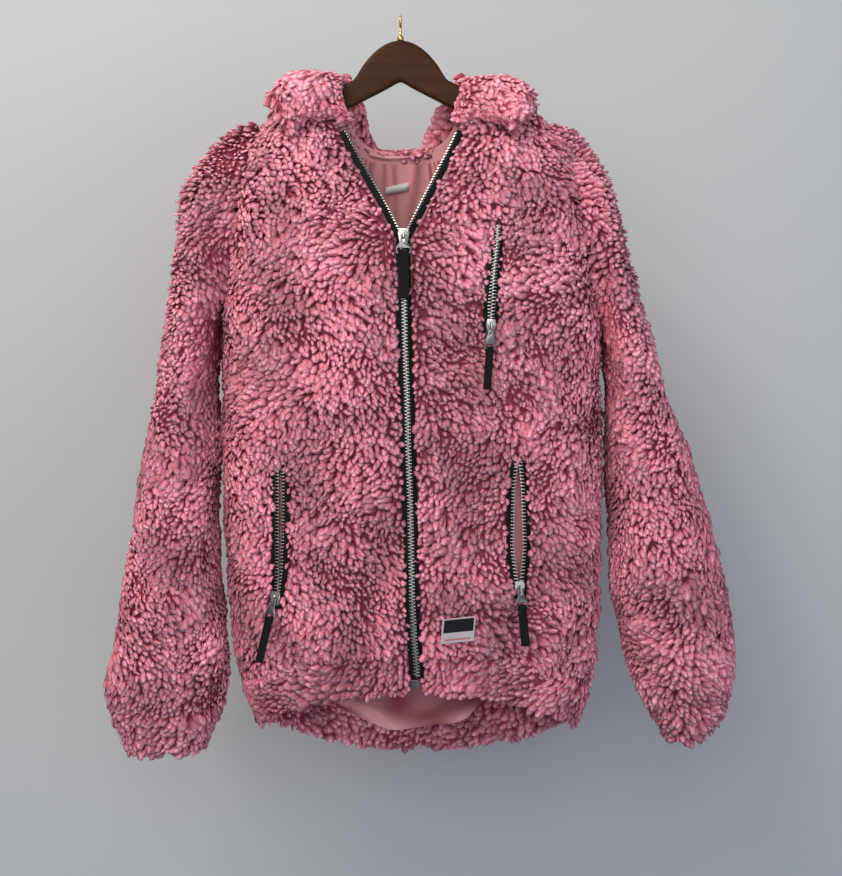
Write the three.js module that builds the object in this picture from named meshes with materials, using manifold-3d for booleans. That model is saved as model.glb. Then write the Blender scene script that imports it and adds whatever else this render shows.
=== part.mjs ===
// A hooded teddy-fleece zip jacket with its hood dropped back, hanging on a flat wooden hanger.
// Millimetres, +Z up. +X is the wearer's left, -Y the front. The origin is the inner top of the hanger's eye.
import * as THREE from "three";
import { mergeVertices } from "three/addons/utils/BufferGeometryUtils.js";
import Module from "manifold-3d";

const wasm = await Module();
wasm.setup();

// Driving dimensions.
const PILE_WALL = 10; // backing and pile together, as deep as the pile stands
const BAND_WALL = 12; // hem band and cuffs: fleece inside and out
const HOOD_WALL = 10;
const SEAM_GAP = 0.3; // between two sewn pieces
const SATIN = 1.5;
const TAPE_THICK = 1.4;
const TAPE_DEPTH = 4; // a zip tape lies this far below the tips of the pile
const CHAIN_RISE = 1.4; // the teeth stand this far above their tape
const CHAIN_HALF = 2.6; // one row of teeth
const ZIP_HALF = 9.4; // the main zip, from its middle to the edge of one front

// The body, ring by ring from the hem up. side: x at the right and left side seams and their height.
// front and back: y and z of the middle. square: 2 is an ellipse, more is boxier.
const BODY = [
  { right: -165, left: 207, sideZ: -806, frontY: -80, frontZ: -763, backY: 78, backZ: -850, square: 2.4 },
  { right: -182, left: 219, sideZ: -765, frontY: -89, frontZ: -717, backY: 88, backZ: -802, square: 2.4 },
  { right: -195, left: 229, sideZ: -700, frontY: -93, frontZ: -665, backY: 95, backZ: -735, square: 2.4 },
  { right: -201, left: 231, sideZ: -630, frontY: -91, frontZ: -610, backY: 96, backZ: -650, square: 2.4 },
  { right: -205, left: 232, sideZ: -540, frontY: -90, frontZ: -530, backY: 95, backZ: -548, square: 2.4 },
  { right: -206, left: 232, sideZ: -460, frontY: -90, frontZ: -457, backY: 95, backZ: -462, square: 2.4 },
  { right: -206, left: 231, sideZ: -385, frontY: -90, frontZ: -390, backY: 95, backZ: -388, square: 2.4 },
  { right: -205, left: 229, sideZ: -325, frontY: -91, frontZ: -340, backY: 94, backZ: -335, square: 2.4 },
  { right: -202, left: 225, sideZ: -265, frontY: -91, frontZ: -305, backY: 92, backZ: -298, square: 2.4 },
  { right: -195, left: 218, sideZ: -205, frontY: -88, frontZ: -275, backY: 88, backZ: -264, square: 2.4 },
  { right: -179, left: 200, sideZ: -150, frontY: -84, frontZ: -250, backY: 82, backZ: -232, square: 2.4 },
  { right: -150, left: 162, sideZ: -114, frontY: -76, frontZ: -228, backY: 74, backZ: -204, square: 2.5 },
  { right: -112, left: 120, sideZ: -92, frontY: -64, frontZ: -202, backY: 64, backZ: -176, square: 3 },
  { right: -74, left: 78, sideZ: -70.5, frontY: -48, frontZ: -172, backY: 52, backZ: -146, square: 4 },
];
const HEM_TOP = 1; // the row where the hem band is sewn on
const NECK = BODY.length - 1;

// Where the zip runs up the front, seen from the front: x of its middle at height z.
const ZIP_LINE = [
  { z: -775, x: 18.5 },
  { z: -736, x: 19 },
  { z: -703, x: 16 },
  { z: -660, x: 13.8 },
  { z: -605, x: 12.7 },
  { z: -550, x: 11.6 },
  { z: -496, x: 9.4 },
  { z: -441, x: 8.3 },
  { z: -387, x: 6.2 },
  { z: -333, x: 5 },
  { z: -262, x: 4 },
];
// Above the slider the two rows of teeth part and run up to the base of the hood.
const NECK_RIGHT = [
  { z: -262, x: 2.4 },
  { z: -253, x: -1.2 },
  { z: -218, x: -18.3 },
  { z: -174, x: -41.9 },
  { z: -136, x: -61.5 },
];
const NECK_LEFT = [
  { z: -262, x: 5.6 },
  { z: -253, x: 10.2 },
  { z: -213, x: 29.1 },
  { z: -172, x: 48 },
  { z: -136, x: 65 },
];

// The sleeves, section by section from inside the armhole to the cuff's edge: the upper (outer) and
// lower (inner) edge as seen from the front, and half the depth from front to back.
const RIGHT_SLEEVE = [
  { upX: -150, upZ: -116, lowX: -152, lowZ: -288, half: 38 },
  { upX: -190, upZ: -129, lowX: -183, lowZ: -316, half: 42 },
  { upX: -225, upZ: -163, lowX: -206, lowZ: -338, half: 50 },
  { upX: -246, upZ: -209, lowX: -212, lowZ: -356, half: 58 },
  { upX: -254, upZ: -267, lowX: -212.5, lowZ: -377, half: 62 },
  { upX: -265, upZ: -336, lowX: -212.5, lowZ: -404, half: 64 },
  { upX: -277, upZ: -405, lowX: -212.5, lowZ: -442, half: 65 },
  { upX: -290, upZ: -474, lowX: -212, lowZ: -491, half: 65 },
  { upX: -305, upZ: -554, lowX: -211, lowZ: -552, half: 65 },
  { upX: -317, upZ: -635, lowX: -207, lowZ: -624, half: 65 },
  { upX: -332, upZ: -715, lowX: -200, lowZ: -692, half: 64 },
  { upX: -341, upZ: -765, lowX: -197, lowZ: -750, half: 60 },
  { upX: -335, upZ: -797, lowX: -204, lowZ: -789, half: 52 },
  { upX: -327, upZ: -810, lowX: -211, lowZ: -806, half: 46 },
  { upX: -322, upZ: -823, lowX: -216, lowZ: -821, half: 42 },
  { upX: -317, upZ: -836, lowX: -222, lowZ: -836, half: 38 },
];
const LEFT_SLEEVE = [
  { upX: 160, upZ: -116, lowX: 166, lowZ: -288, half: 38 },
  { upX: 193, upZ: -130, lowX: 201, lowZ: -316, half: 42 },
  { upX: 224, upZ: -167, lowX: 228, lowZ: -340, half: 50 },
  { upX: 247, upZ: -221, lowX: 236, lowZ: -358, half: 58 },
  { upX: 262, upZ: -290, lowX: 238, lowZ: -381, half: 62 },
  { upX: 281, upZ: -359, lowX: 238.5, lowZ: -411, half: 64 },
  { upX: 304, upZ: -428, lowX: 239, lowZ: -453, half: 65 },
  { upX: 333, upZ: -497, lowX: 239, lowZ: -507, half: 65 },
  { upX: 354, upZ: -566, lowX: 239, lowZ: -566, half: 65 },
  { upX: 373, upZ: -646, lowX: 241, lowZ: -640, half: 64 },
  { upX: 385, upZ: -715, lowX: 252, lowZ: -703, half: 62 },
  { upX: 383, upZ: -760, lowX: 266, lowZ: -750, half: 56 },
  { upX: 377, upZ: -786, lowX: 279, lowZ: -778, half: 48 },
  { upX: 370, upZ: -798, lowX: 286, lowZ: -793, half: 43 },
  { upX: 358, upZ: -810, lowX: 293, lowZ: -807, half: 38 },
  { upX: 345, upZ: -821, lowX: 300, lowZ: -821, half: 34 },
];
const CUFF_ROW = 12; // the row of both tables where the cuff is sewn on
const SLEEVE_SQUARE = 2.3;
const SLEEVE_Y = 2; // the sleeves hang a little behind the middle of the body

// The largest folds of the fronts and back, as soft ridges (rise above 0) and troughs along a line.
const FOLDS = [
  { side: "front", fromX: -92, fromZ: -145, toX: -96, toZ: -260, wide: 20, rise: 5 },
  { side: "front", fromX: -84, fromZ: -140, toX: -86, toZ: -215, wide: 12, rise: -5 },
  { side: "front", fromX: 112, fromZ: -150, toX: 118, toZ: -240, wide: 18, rise: 5 },
  { side: "front", fromX: 128, fromZ: -145, toX: 130, toZ: -225, wide: 12, rise: -5 },
  { side: "front", fromX: 30, fromZ: -330, toX: 98, toZ: -585, wide: 26, rise: -8 },
  { side: "front", fromX: -34, fromZ: -300, toX: -100, toZ: -480, wide: 30, rise: 5 },
  { side: "front", fromX: -20, fromZ: -595, toX: -52, toZ: -745, wide: 20, rise: -8 },
  { side: "front", fromX: -8, fromZ: -610, toX: -30, toZ: -740, wide: 18, rise: 6 },
  { side: "front", fromX: -130, fromZ: -690, toX: -102, toZ: -760, wide: 14, rise: -5 },
  { side: "front", fromX: 152, fromZ: -610, toX: 104, toZ: -745, wide: 22, rise: -6 },
  { side: "back", fromX: -120, fromZ: -300, toX: -60, toZ: -620, wide: 32, rise: -7 },
  { side: "back", fromX: 130, fromZ: -320, toX: 95, toZ: -640, wide: 30, rise: -6 },
  { side: "back", fromX: 20, fromZ: -440, toX: 10, toZ: -720, wide: 34, rise: 5 },
];

const vec = (x, y, z) => new THREE.Vector3(x, y, z);
const steps = (count, from = 0, to = 1) =>
  Array.from({ length: count + 1 }, (_, i) => from + ((to - from) * i) / count);
const signedPower = (value, power) => Math.sign(value) * Math.abs(value) ** power;

// The value of one column at a fractional row, on a smooth curve through the rows.
function column(table, name, row) {
  const last = table.length - 1;
  const low = Math.min(last - 1, Math.max(0, Math.floor(row)));
  const t = row - low;
  const at = (i) => table[Math.min(last, Math.max(0, i))][name];
  const [a, b, c, d] = [at(low - 1), at(low), at(low + 1), at(low + 2)];
  return b + 0.5 * t * (c - a + t * (2 * a - 5 * b + 4 * c - d + t * (3 * (b - c) + d - a)));
}

// The value of one column at height z, straight between the rows.
function columnAtZ(table, name, z) {
  const rows = [...table].sort((a, b) => a.z - b.z);
  if (z <= rows[0].z) return rows[0][name];
  for (let i = 1; i < rows.length; i++)
    if (z <= rows[i].z) {
      const t = (z - rows[i - 1].z) / (rows[i].z - rows[i - 1].z);
      return rows[i - 1][name] + t * (rows[i][name] - rows[i - 1][name]);
    }
  return rows.at(-1)[name];
}

// A point of the body before its folds. turn: 0 at the front, a quarter at the wearer's left side.
function bodyBase(row, turn) {
  const get = (name) => column(BODY, name, row);
  const angle = turn * 2 * Math.PI;
  const [s, c] = [Math.sin(angle), Math.cos(angle)];
  const power = 2 / get("square");
  const front = c > 0;
  const middle = (get("right") + get("left")) / 2;
  const halfWidth = (get("left") - get("right")) / 2;
  const z = get("sideZ") + (get(front ? "frontZ" : "backZ") - get("sideZ")) * c * c;
  const y = get(front ? "frontY" : "backY") * Math.abs(c) ** power;
  const zipShift = front && row < 11 ? (columnAtZ(ZIP_LINE, "x", z) - middle) * c ** 6 : 0;
  return vec(middle + halfWidth * signedPower(s, power) + zipShift, y, z);
}

// How far the folds move a point of the body out or in.
function foldRise(x, y, z) {
  let rise = 0;
  for (const fold of FOLDS) {
    if (fold.side !== (y < 0 ? "front" : "back")) continue;
    const [dx, dz] = [fold.toX - fold.fromX, fold.toZ - fold.fromZ];
    const along = ((x - fold.fromX) * dx + (z - fold.fromZ) * dz) / (dx * dx + dz * dz);
    const t = Math.min(1, Math.max(0, along));
    const off = Math.hypot(x - fold.fromX - t * dx, z - fold.fromZ - t * dz) / fold.wide;
    const fade = Math.sin(Math.PI * (0.1 + 0.8 * t));
    rise += fold.rise * fade * Math.exp(-off * off);
  }
  return rise * Math.min(1, Math.abs(y) / 50);
}

// A point of the body's outer surface, moved out by the given distance.
function bodyPoint(row, turn, out = 0) {
  const base = bodyBase(row, turn);
  const [dr, dt] = [0.02, 0.002];
  const up = bodyBase(Math.min(NECK, row + dr), turn).sub(bodyBase(Math.max(0, row - dr), turn));
  const round = bodyBase(row, turn + dt).sub(bodyBase(row, turn - dt));
  const normal = round.cross(up).normalize();
  return base.addScaledVector(normal, foldRise(base.x, base.y, base.z) + out);
}

// The value between two bounds where a rising function reaches a target.
function solve(rising, target, low, high) {
  for (let i = 0; i < 26; i++) {
    const middle = (low + high) / 2;
    if (rising(middle) < target) low = middle;
    else high = middle;
  }
  return (low + high) / 2;
}

// The point of the front's outer surface seen at x and z, moved out by the given distance.
function frontAt(x, z, out = 0) {
  const turnAt = (row) => solve((turn) => bodyBase(row, turn).x, x, -0.249, 0.249);
  const row = solve((r) => bodyBase(r, turnAt(r)).z, z, 0, NECK);
  return bodyPoint(row, turnAt(row), out);
}

// A point of a sleeve's outer surface. turn: 0 at the upper edge, a quarter at the front.
function sleevePoint(table, row, turn, out = 0) {
  const get = (name) => column(table, name, row);
  const angle = turn * 2 * Math.PI;
  const power = 2 / SLEEVE_SQUARE;
  const up = vec(get("upX"), SLEEVE_Y, get("upZ"));
  const low = vec(get("lowX"), SLEEVE_Y, get("lowZ"));
  const axis = up.clone().sub(low);
  const reach = axis.length() / 2 + out;
  return up
    .add(low)
    .multiplyScalar(0.5)
    .addScaledVector(axis.normalize(), reach * signedPower(Math.cos(angle), power))
    .add(vec(0, -(get("half") + out) * signedPower(Math.sin(angle), power), 0));
}

// A mesh geometry from points and faces, each face a list of three point numbers.
function geometry(points, faces) {
  const g = new THREE.BufferGeometry();
  g.setAttribute("position", new THREE.Float32BufferAttribute(points.flatMap((p) => [p.x, p.y, p.z]), 3));
  g.setIndex(faces.flat());
  return g;
}

// A wall from two grids of rows of points, one its outer skin and one its inner. ring: each row closes.
function wall(outer, inner, ring = false) {
  const [rows, cols] = [outer.length, outer[0].length];
  const points = [...outer.flat(), ...inner.flat()];
  const faces = [];
  const quad = (a, b, c, d) => faces.push([a, b, c], [a, c, d]);
  const at = (skin, r, c) => skin * rows * cols + r * cols + (c % cols);
  const spans = ring ? cols : cols - 1;
  for (let r = 0; r < rows - 1; r++)
    for (let c = 0; c < spans; c++) {
      quad(at(0, r, c), at(0, r, c + 1), at(0, r + 1, c + 1), at(0, r + 1, c));
      quad(at(1, r, c), at(1, r + 1, c), at(1, r + 1, c + 1), at(1, r, c + 1));
    }
  for (let c = 0; c < spans; c++) {
    quad(at(0, 0, c + 1), at(0, 0, c), at(1, 0, c), at(1, 0, c + 1));
    quad(at(0, rows - 1, c), at(0, rows - 1, c + 1), at(1, rows - 1, c + 1), at(1, rows - 1, c));
  }
  if (!ring)
    for (let r = 0; r < rows - 1; r++) {
      quad(at(0, r, 0), at(0, r + 1, 0), at(1, r + 1, 0), at(1, r, 0));
      quad(at(0, r + 1, cols - 1), at(0, r, cols - 1), at(1, r, cols - 1), at(1, r + 1, cols - 1));
    }
  return geometry(points, faces);
}

// A filled body lofted through closed rows of points, with flat ends.
function filled(rows) {
  const cols = rows[0].length;
  const points = rows.flat();
  const faces = [];
  for (let r = 0; r < rows.length - 1; r++)
    for (let c = 0; c < cols; c++) {
      const [a, b] = [r * cols + c, r * cols + ((c + 1) % cols)];
      faces.push([a, b, b + cols], [a, b + cols, a + cols]);
    }
  for (const [row, flip] of [[0, true], [rows.length - 1, false]]) {
    const middle = points.length;
    points.push(rows[row].reduce((sum, p) => sum.add(p), vec(0, 0, 0)).multiplyScalar(1 / cols));
    for (let c = 0; c < cols; c++) {
      const [a, b] = [row * cols + c, row * cols + ((c + 1) % cols)];
      faces.push(flip ? [b, a, middle] : [a, b, middle]);
    }
  }
  return geometry(points, faces);
}

// three.js geometry to a manifold solid, turned the right way out, and back.
function solid(g) {
  const bare = new THREE.BufferGeometry().setAttribute("position", g.getAttribute("position"));
  bare.setIndex(g.index);
  const merged = mergeVertices(bare, 1e-4);
  const triVerts = new Uint32Array(merged.index.array);
  const vertProperties = merged.attributes.position.array;
  const made = new wasm.Manifold(new wasm.Mesh({ numProp: 3, vertProperties, triVerts }));
  if (made.volume() > 0) return made;
  for (let i = 0; i < triVerts.length; i += 3)
    [triVerts[i + 1], triVerts[i + 2]] = [triVerts[i + 2], triVerts[i + 1]];
  return new wasm.Manifold(new wasm.Mesh({ numProp: 3, vertProperties, triVerts }));
}
function fromSolid(made) {
  const body = made.decompose().sort((a, b) => b.volume() - a.volume())[0];
  const m = body.getMesh();
  const g = new THREE.BufferGeometry();
  g.setAttribute("position", new THREE.Float32BufferAttribute(m.vertProperties, 3));
  g.setIndex([...m.triVerts]);
  return g;
}

const jacket = new THREE.Group();
jacket.name = "fleece_jacket_on_hanger";
function add(name, g, material) {
  const flat = g.index ? g.toNonIndexed() : g;
  flat.computeVertexNormals();
  const mesh = new THREE.Mesh(flat, material);
  mesh.name = name;
  jacket.add(mesh);
  return mesh;
}
const finish = (color, roughness, metalness = 0) =>
  new THREE.MeshStandardMaterial({ color, roughness, metalness });
const FLEECE = finish(0xd98a9c, 1);
const SATIN_PINK = finish(0xe39aae, 0.35);
const BLACK_TAPE = finish(0x1b191b, 0.8);
const ZIP_METAL = finish(0xb9b4ac, 0.3, 1);
const PATCH_WHITE = finish(0xe6e1de, 0.7);
const WALNUT = finish(0x3a2218, 0.4);
const BRASS = finish(0xa98a4e, 0.35, 1);

// A prism through the front: an outline in x and z, swept from one y to another.
function throughFront(outline, fromY, toY) {
  const shape = new THREE.Shape(outline.map(([x, z]) => new THREE.Vector2(x, z)));
  const g = new THREE.ExtrudeGeometry(shape, { depth: toY - fromY, bevelEnabled: false });
  return mergeVertices(bareCopy(g.rotateX(Math.PI / 2).translate(0, toY, 0)), 1e-4);
}
function bareCopy(g) {
  return new THREE.BufferGeometry().setAttribute("position", g.getAttribute("position"));
}

const BODY_ROW_STEP = 0.6;
const SIDE_INSET = 0.0014; // of a turn: half the gap of a side seam
const ROW_GAP = 0.009; // of a row: the gap of a seam round the body
const bodyGrid = (rows, turns, out) => rows.map((r) => turns.map((t) => bodyPoint(r, t, out)));
const bodyRows = steps((NECK - HEM_TOP) / BODY_ROW_STEP, HEM_TOP + ROW_GAP, NECK);
const bandRows = steps(2, 0, HEM_TOP);
const frontTurns = steps(24, -0.25 + SIDE_INSET, 0.25 - SIDE_INSET);
const backTurns = steps(20, 0.25 + SIDE_INSET, 0.75 - SIDE_INSET);
const panel = (rows, turns, thick) => solid(wall(bodyGrid(rows, turns, 0), bodyGrid(rows, turns, -thick)));

// The opening between the fronts: straight up the zip, then along the two parted rows of teeth.
const PARTED_TAPE = 8.8; // from a parted row of teeth to the edge of the cloth
const OPENING_TOP = -129;
const BELOW_HEM = -900;
const FRONT_DEPTH = [-160, -20]; // the cuts through the front run between these two y
function besideTeeth(line, side, away) {
  return line.map((row, i) => {
    const [a, b] = [line[Math.max(0, i - 1)], line[Math.min(line.length - 1, i + 1)]];
    const length = Math.hypot(b.x - a.x, b.z - a.z);
    return [row.x + (side * away * (b.z - a.z)) / length, row.z - (side * away * (b.x - a.x)) / length];
  });
}
function frontOpening(inset) {
  const half = ZIP_HALF - inset;
  const zipEdge = (side) => ZIP_LINE.map((row) => [row.x + side * half, row.z]).slice(0, -1);
  return [
    [ZIP_LINE[0].x - half, BELOW_HEM],
    ...zipEdge(-1),
    ...besideTeeth(NECK_RIGHT, -1, PARTED_TAPE - inset),
    [NECK_RIGHT.at(-1).x, OPENING_TOP],
    [NECK_LEFT.at(-1).x, OPENING_TOP],
    ...besideTeeth(NECK_LEFT, 1, PARTED_TAPE - inset).reverse(),
    ...zipEdge(1).reverse(),
    [ZIP_LINE[0].x + half, BELOW_HEM],
  ];
}
const openingCut = solid(throughFront(frontOpening(0), ...FRONT_DEPTH));

// The pocket windows, held open by their parted zips: the left and right edge seen from the front.
const POCKETS = {
  right_pocket: [
    { z: -512, x0: -144, x1: -122.5 },
    { z: -580, x0: -144, x1: -122.5 },
    { z: -628, x0: -144, x1: -124.5 },
    { z: -672, x0: -144.5, x1: -130 },
  ],
  left_pocket: [
    { z: -506, x0: 122, x1: 141 },
    { z: -540, x0: 118.5, x1: 144 },
    { z: -602, x0: 117, x1: 146 },
    { z: -630, x0: 121, x1: 144.5 },
    { z: -660, x0: 125, x1: 141 },
  ],
  chest_pocket: [
    { z: -245, x0: 106, x1: 113 },
    { z: -268, x0: 102, x1: 114 },
    { z: -300, x0: 96, x1: 112.5 },
    { z: -335, x0: 91.5, x1: 111.5 },
    { z: -372, x0: 92, x1: 107 },
  ],
};
function pocketWindow(rows, inset) {
  const last = rows.length - 1;
  const z = (row, i) => row.z - (i === 0 ? inset : 0) + (i === last ? inset : 0);
  const left = rows.map((row, i) => [row.x0 + inset, z(row, i)]);
  const right = rows.map((row, i) => [row.x1 - inset, z(row, i)]).reverse();
  return solid(throughFront([...left, ...right], ...FRONT_DEPTH));
}
const windowCuts = Object.values(POCKETS).map((rows) => pocketWindow(rows, 0));

// The sleeves as filled bodies, to cut the armholes.
const sleeveTurns = steps(18).slice(0, -1);
function sleeveGrid(table, from, to, count, out) {
  return steps(count, from, to).map((row) => sleeveTurns.map((t) => sleevePoint(table, row, t, out)));
}
const sleeveFilled = (table, out) => solid(filled(sleeveGrid(table, 0, CUFF_ROW, 17, out)));
const armholeCuts = [RIGHT_SLEEVE, LEFT_SLEEVE].map((table) => sleeveFilled(table, SEAM_GAP));

// The inside of the body, to end the sleeves at the armholes.
const ringTurns = steps(48).slice(0, -1);
const bodyInside = solid(filled(bodyGrid(steps(NECK * 2, 0, NECK), ringTurns, -PILE_WALL)));

const cutAll = (body, cuts) => cuts.reduce((left, cut) => left.subtract(cut), body);
const leftToRight = (made) =>
  made
    .decompose()
    .sort((a, b) => b.volume() - a.volume())
    .slice(0, 2)
    .sort((a, b) => a.boundingBox().min[0] - b.boundingBox().min[0]);

const fronts = cutAll(panel(bodyRows, frontTurns, PILE_WALL), [openingCut, ...windowCuts, ...armholeCuts]);
const [rightFront, leftFront] = leftToRight(fronts);
add("right_front", fromSolid(rightFront), FLEECE);
add("left_front", fromSolid(leftFront), FLEECE);
add("back", fromSolid(cutAll(panel(bodyRows, backTurns, PILE_WALL), armholeCuts)), FLEECE);

const [rightHem, leftHem] = leftToRight(panel(bandRows, frontTurns, BAND_WALL).subtract(openingCut));
add("hem_right_front", fromSolid(rightHem), FLEECE);
add("hem_left_front", fromSolid(leftHem), FLEECE);
add("hem_back", fromSolid(panel(bandRows, backTurns, BAND_WALL)), FLEECE);

for (const [side, table] of [["right", RIGHT_SLEEVE], ["left", LEFT_SLEEVE]]) {
  const last = table.length - 1;
  const tube = (from, to, count, thick) =>
    solid(wall(sleeveGrid(table, from, to, count, 0), sleeveGrid(table, from, to, count, -thick), true));
  add(`${side}_sleeve`, fromSolid(tube(0, CUFF_ROW, 17, PILE_WALL).subtract(bodyInside)), FLEECE);
  add(`${side}_cuff`, fromSolid(tube(CUFF_ROW + 0.03, last, 4, BAND_WALL)), FLEECE);
}

// The hood hangs back. Its wall starts on the neck seam, rolls outward over the shoulders and falls into
// a pouch behind, open at the top. One row a station: turn is the place on the neck seam, and the rest are
// sizes across (reach) and down the profile, from the seam.
const HOOD = [
  { turn: 0.12, rise: 17, reach: 62, drop: 14, pouch: 4, back: 10, lean: -14 },
  { turn: 0.19, rise: 13, reach: 66, drop: 22, pouch: 6, back: 8, lean: -4 },
  { turn: 0.26, rise: 11, reach: 64, drop: 32, pouch: 12, back: 12, lean: 0 },
  { turn: 0.33, rise: 16, reach: 64, drop: 92, pouch: 32, back: 60, lean: 0 },
  { turn: 0.41, rise: 22, reach: 58, drop: 190, pouch: 52, back: 148, lean: 0 },
  { turn: 0.5, rise: 18, reach: 54, drop: 240, pouch: 62, back: 192, lean: 0 },
];
const HOOD_ROWS = 12;
const HOOD_SEAM = 7e-7; // of the way along: half the gap of the seam down the back of the hood
const HOOD_LIFT = 1; // the hood's seam lies this far above the neck of the body
const HOOD_CLEAR = 1.1; // and the hood this far off the shoulders and back

// A point of the middle of the hood's wall. along: 0 at the right front end, 1 at the left. down: 0 at the
// neck seam, 1 at the face edge.
function hoodMiddle(along, down) {
  const half = along < 0.5 ? along * 2 : 2 - along * 2;
  const station = half * (HOOD.length - 1);
  const get = (name) => column(HOOD, name, station);
  const mirror = along < 0.5 ? -1 : 1;
  const turn = along < 0.5 ? 1 - get("turn") : get("turn");
  const seam = bodyPoint(NECK, turn, -PILE_WALL / 2);
  const outward = bodyBase(NECK, turn).sub(vec(2, 0, 0));
  const facing = Math.atan2(outward.y, outward.x * mirror) - get("lean") / 60;
  const profile = [
    { across: 0, up: HOOD_LIFT },
    { across: 1, up: get("rise") * 0.62 },
    { across: get("reach") * 0.24, up: get("rise") },
    { across: get("reach") * 0.62, up: get("rise") * 0.72 - get("drop") * 0.06 },
    { across: get("reach") * 0.96, up: get("rise") * 0.2 - get("drop") * 0.3 },
    { across: get("reach"), up: -get("drop") * 0.72 },
    { across: get("reach") + get("pouch") * 0.35, up: -get("drop") },
    { across: get("reach") + get("pouch") * 0.9, up: -get("drop") * 0.86 },
    { across: get("reach") + get("pouch"), up: get("back") * 0.55 - get("drop") * 0.9 },
    { across: get("reach") + get("pouch") * 0.86, up: get("back") - get("drop") },
  ];
  const at = down * (profile.length - 1);
  const across = column(profile, "across", at);
  return seam.add(
    vec(Math.cos(facing) * across * mirror, Math.sin(facing) * across, column(profile, "up", at)),
  );
}
// The same, moved out of the wall's middle towards the outside of the hood.
function hoodPoint(along, down, out) {
  const [a, b] = [Math.max(0, along - 0.004), Math.min(1, along + 0.004)];
  const [c, d] = [Math.max(0, down - 0.01), Math.min(1, down + 0.01)];
  const round = hoodMiddle(b, down).sub(hoodMiddle(a, down));
  const fall = hoodMiddle(along, d).sub(hoodMiddle(along, c));
  return hoodMiddle(along, down).addScaledVector(round.cross(fall).normalize(), out);
}
const bodyClear = filled(bodyGrid(steps(NECK * 2, 0, NECK), ringTurns, HOOD_CLEAR));
const bodyFilled = solid(bodyClear).translate([0, 0, HOOD_LIFT / 2]);
// Closer together towards the back, where the neck seam runs straight across.
const hoodAlongs = steps(10, 0, 1 - HOOD_SEAM).map((u) => 0.5 * (1 - (1 - u) ** 1.7 - HOOD_SEAM));
const hoodSides = [
  ["hood_right", hoodAlongs],
  ["hood_left", hoodAlongs.map((along) => 1 - along).reverse()],
];
for (const [name, alongs] of hoodSides) {
  const grid = (out) => steps(HOOD_ROWS).map((down) => alongs.map((along) => hoodPoint(along, down, out)));
  const half = HOOD_WALL / 2;
  add(name, fromSolid(solid(wall(grid(half), grid(-half))).subtract(bodyFilled)), FLEECE);
}

// A strip that follows the front's surface: one row of points a height, each with an inner and an outer
// edge (x, z). The section runs from the inner edge (across 0) to the outer (1), and below the pile (deep).
function loftSection(rows, section) {
  const cols = section.length;
  const points = rows.flat();
  const faces = [];
  for (let r = 0; r < rows.length - 1; r++)
    for (let c = 0; c < cols; c++) {
      const [a, b] = [r * cols + c, r * cols + ((c + 1) % cols)];
      faces.push([a, b, b + cols], [a, b + cols, a + cols]);
    }
  const flat = section.map(([u, v]) => new THREE.Vector2(u, v));
  const end = (rows.length - 1) * cols;
  for (const corners of THREE.ShapeUtils.triangulateShape(flat, [])) {
    const area = THREE.ShapeUtils.area(corners.map((i) => flat[i]));
    const [a, b, c] = area * THREE.ShapeUtils.area(flat) > 0 ? corners : [...corners].reverse();
    faces.push([c, b, a], [a + end, b + end, c + end]);
  }
  const closed = solid(geometry(points, faces));
  return fromSolid(closed);
}
function frontStrip(rows, section) {
  return loftSection(
    rows.map(([[x0, z0], [x1, z1]]) =>
      section.map(([u, deep]) => frontAt(x0 + u * (x1 - x0), z0 + u * (z1 - z0), -deep)),
    ),
    section,
  );
}
const TAPE_UNDER = TAPE_DEPTH + TAPE_THICK;
const CHAIN_TOP = TAPE_DEPTH - CHAIN_RISE;
const chainSection = (share) => [
  [0, TAPE_UNDER],
  [1, TAPE_UNDER],
  [1, TAPE_DEPTH],
  [share, TAPE_DEPTH],
  [share, CHAIN_TOP],
  [0, CHAIN_TOP],
];

// The main zip: each tape runs from the hem to the base of the hood, with its row of teeth on the inner edge.
const ZIP_BOTTOM = -748;
const UNDER_CLOTH = 3; // a tape is made this much wider, then trimmed to the edge of the cloth
const openingFill = solid(throughFront(frontOpening(SEAM_GAP), ...FRONT_DEPTH));
const zipHeights = [ZIP_BOTTOM, ...ZIP_LINE.slice(1, -1).map((row) => row.z), ZIP_LINE.at(-1).z];
function mainTape(side, parted) {
  const closedRows = zipHeights.map((z) => {
    const x = columnAtZ(ZIP_LINE, "x", z);
    return [[x + (side * SEAM_GAP) / 2, z], [x + side * (ZIP_HALF + UNDER_CLOTH), z]];
  });
  const inner = besideTeeth(parted, side, -CHAIN_HALF / 2).slice(2);
  const outer = besideTeeth(parted, side, PARTED_TAPE + UNDER_CLOTH).slice(2);
  const partedRows = inner.map((point, i) => [point, outer[i]]);
  const share = CHAIN_HALF / (ZIP_HALF + UNDER_CLOTH);
  const tape = frontStrip([...closedRows, ...partedRows], chainSection(share));
  return fromSolid(solid(tape).intersect(openingFill));
}
add("zip_tape_right", mainTape(-1, NECK_RIGHT), BLACK_TAPE);
add("zip_tape_left", mainTape(1, NECK_LEFT), BLACK_TAPE);

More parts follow.
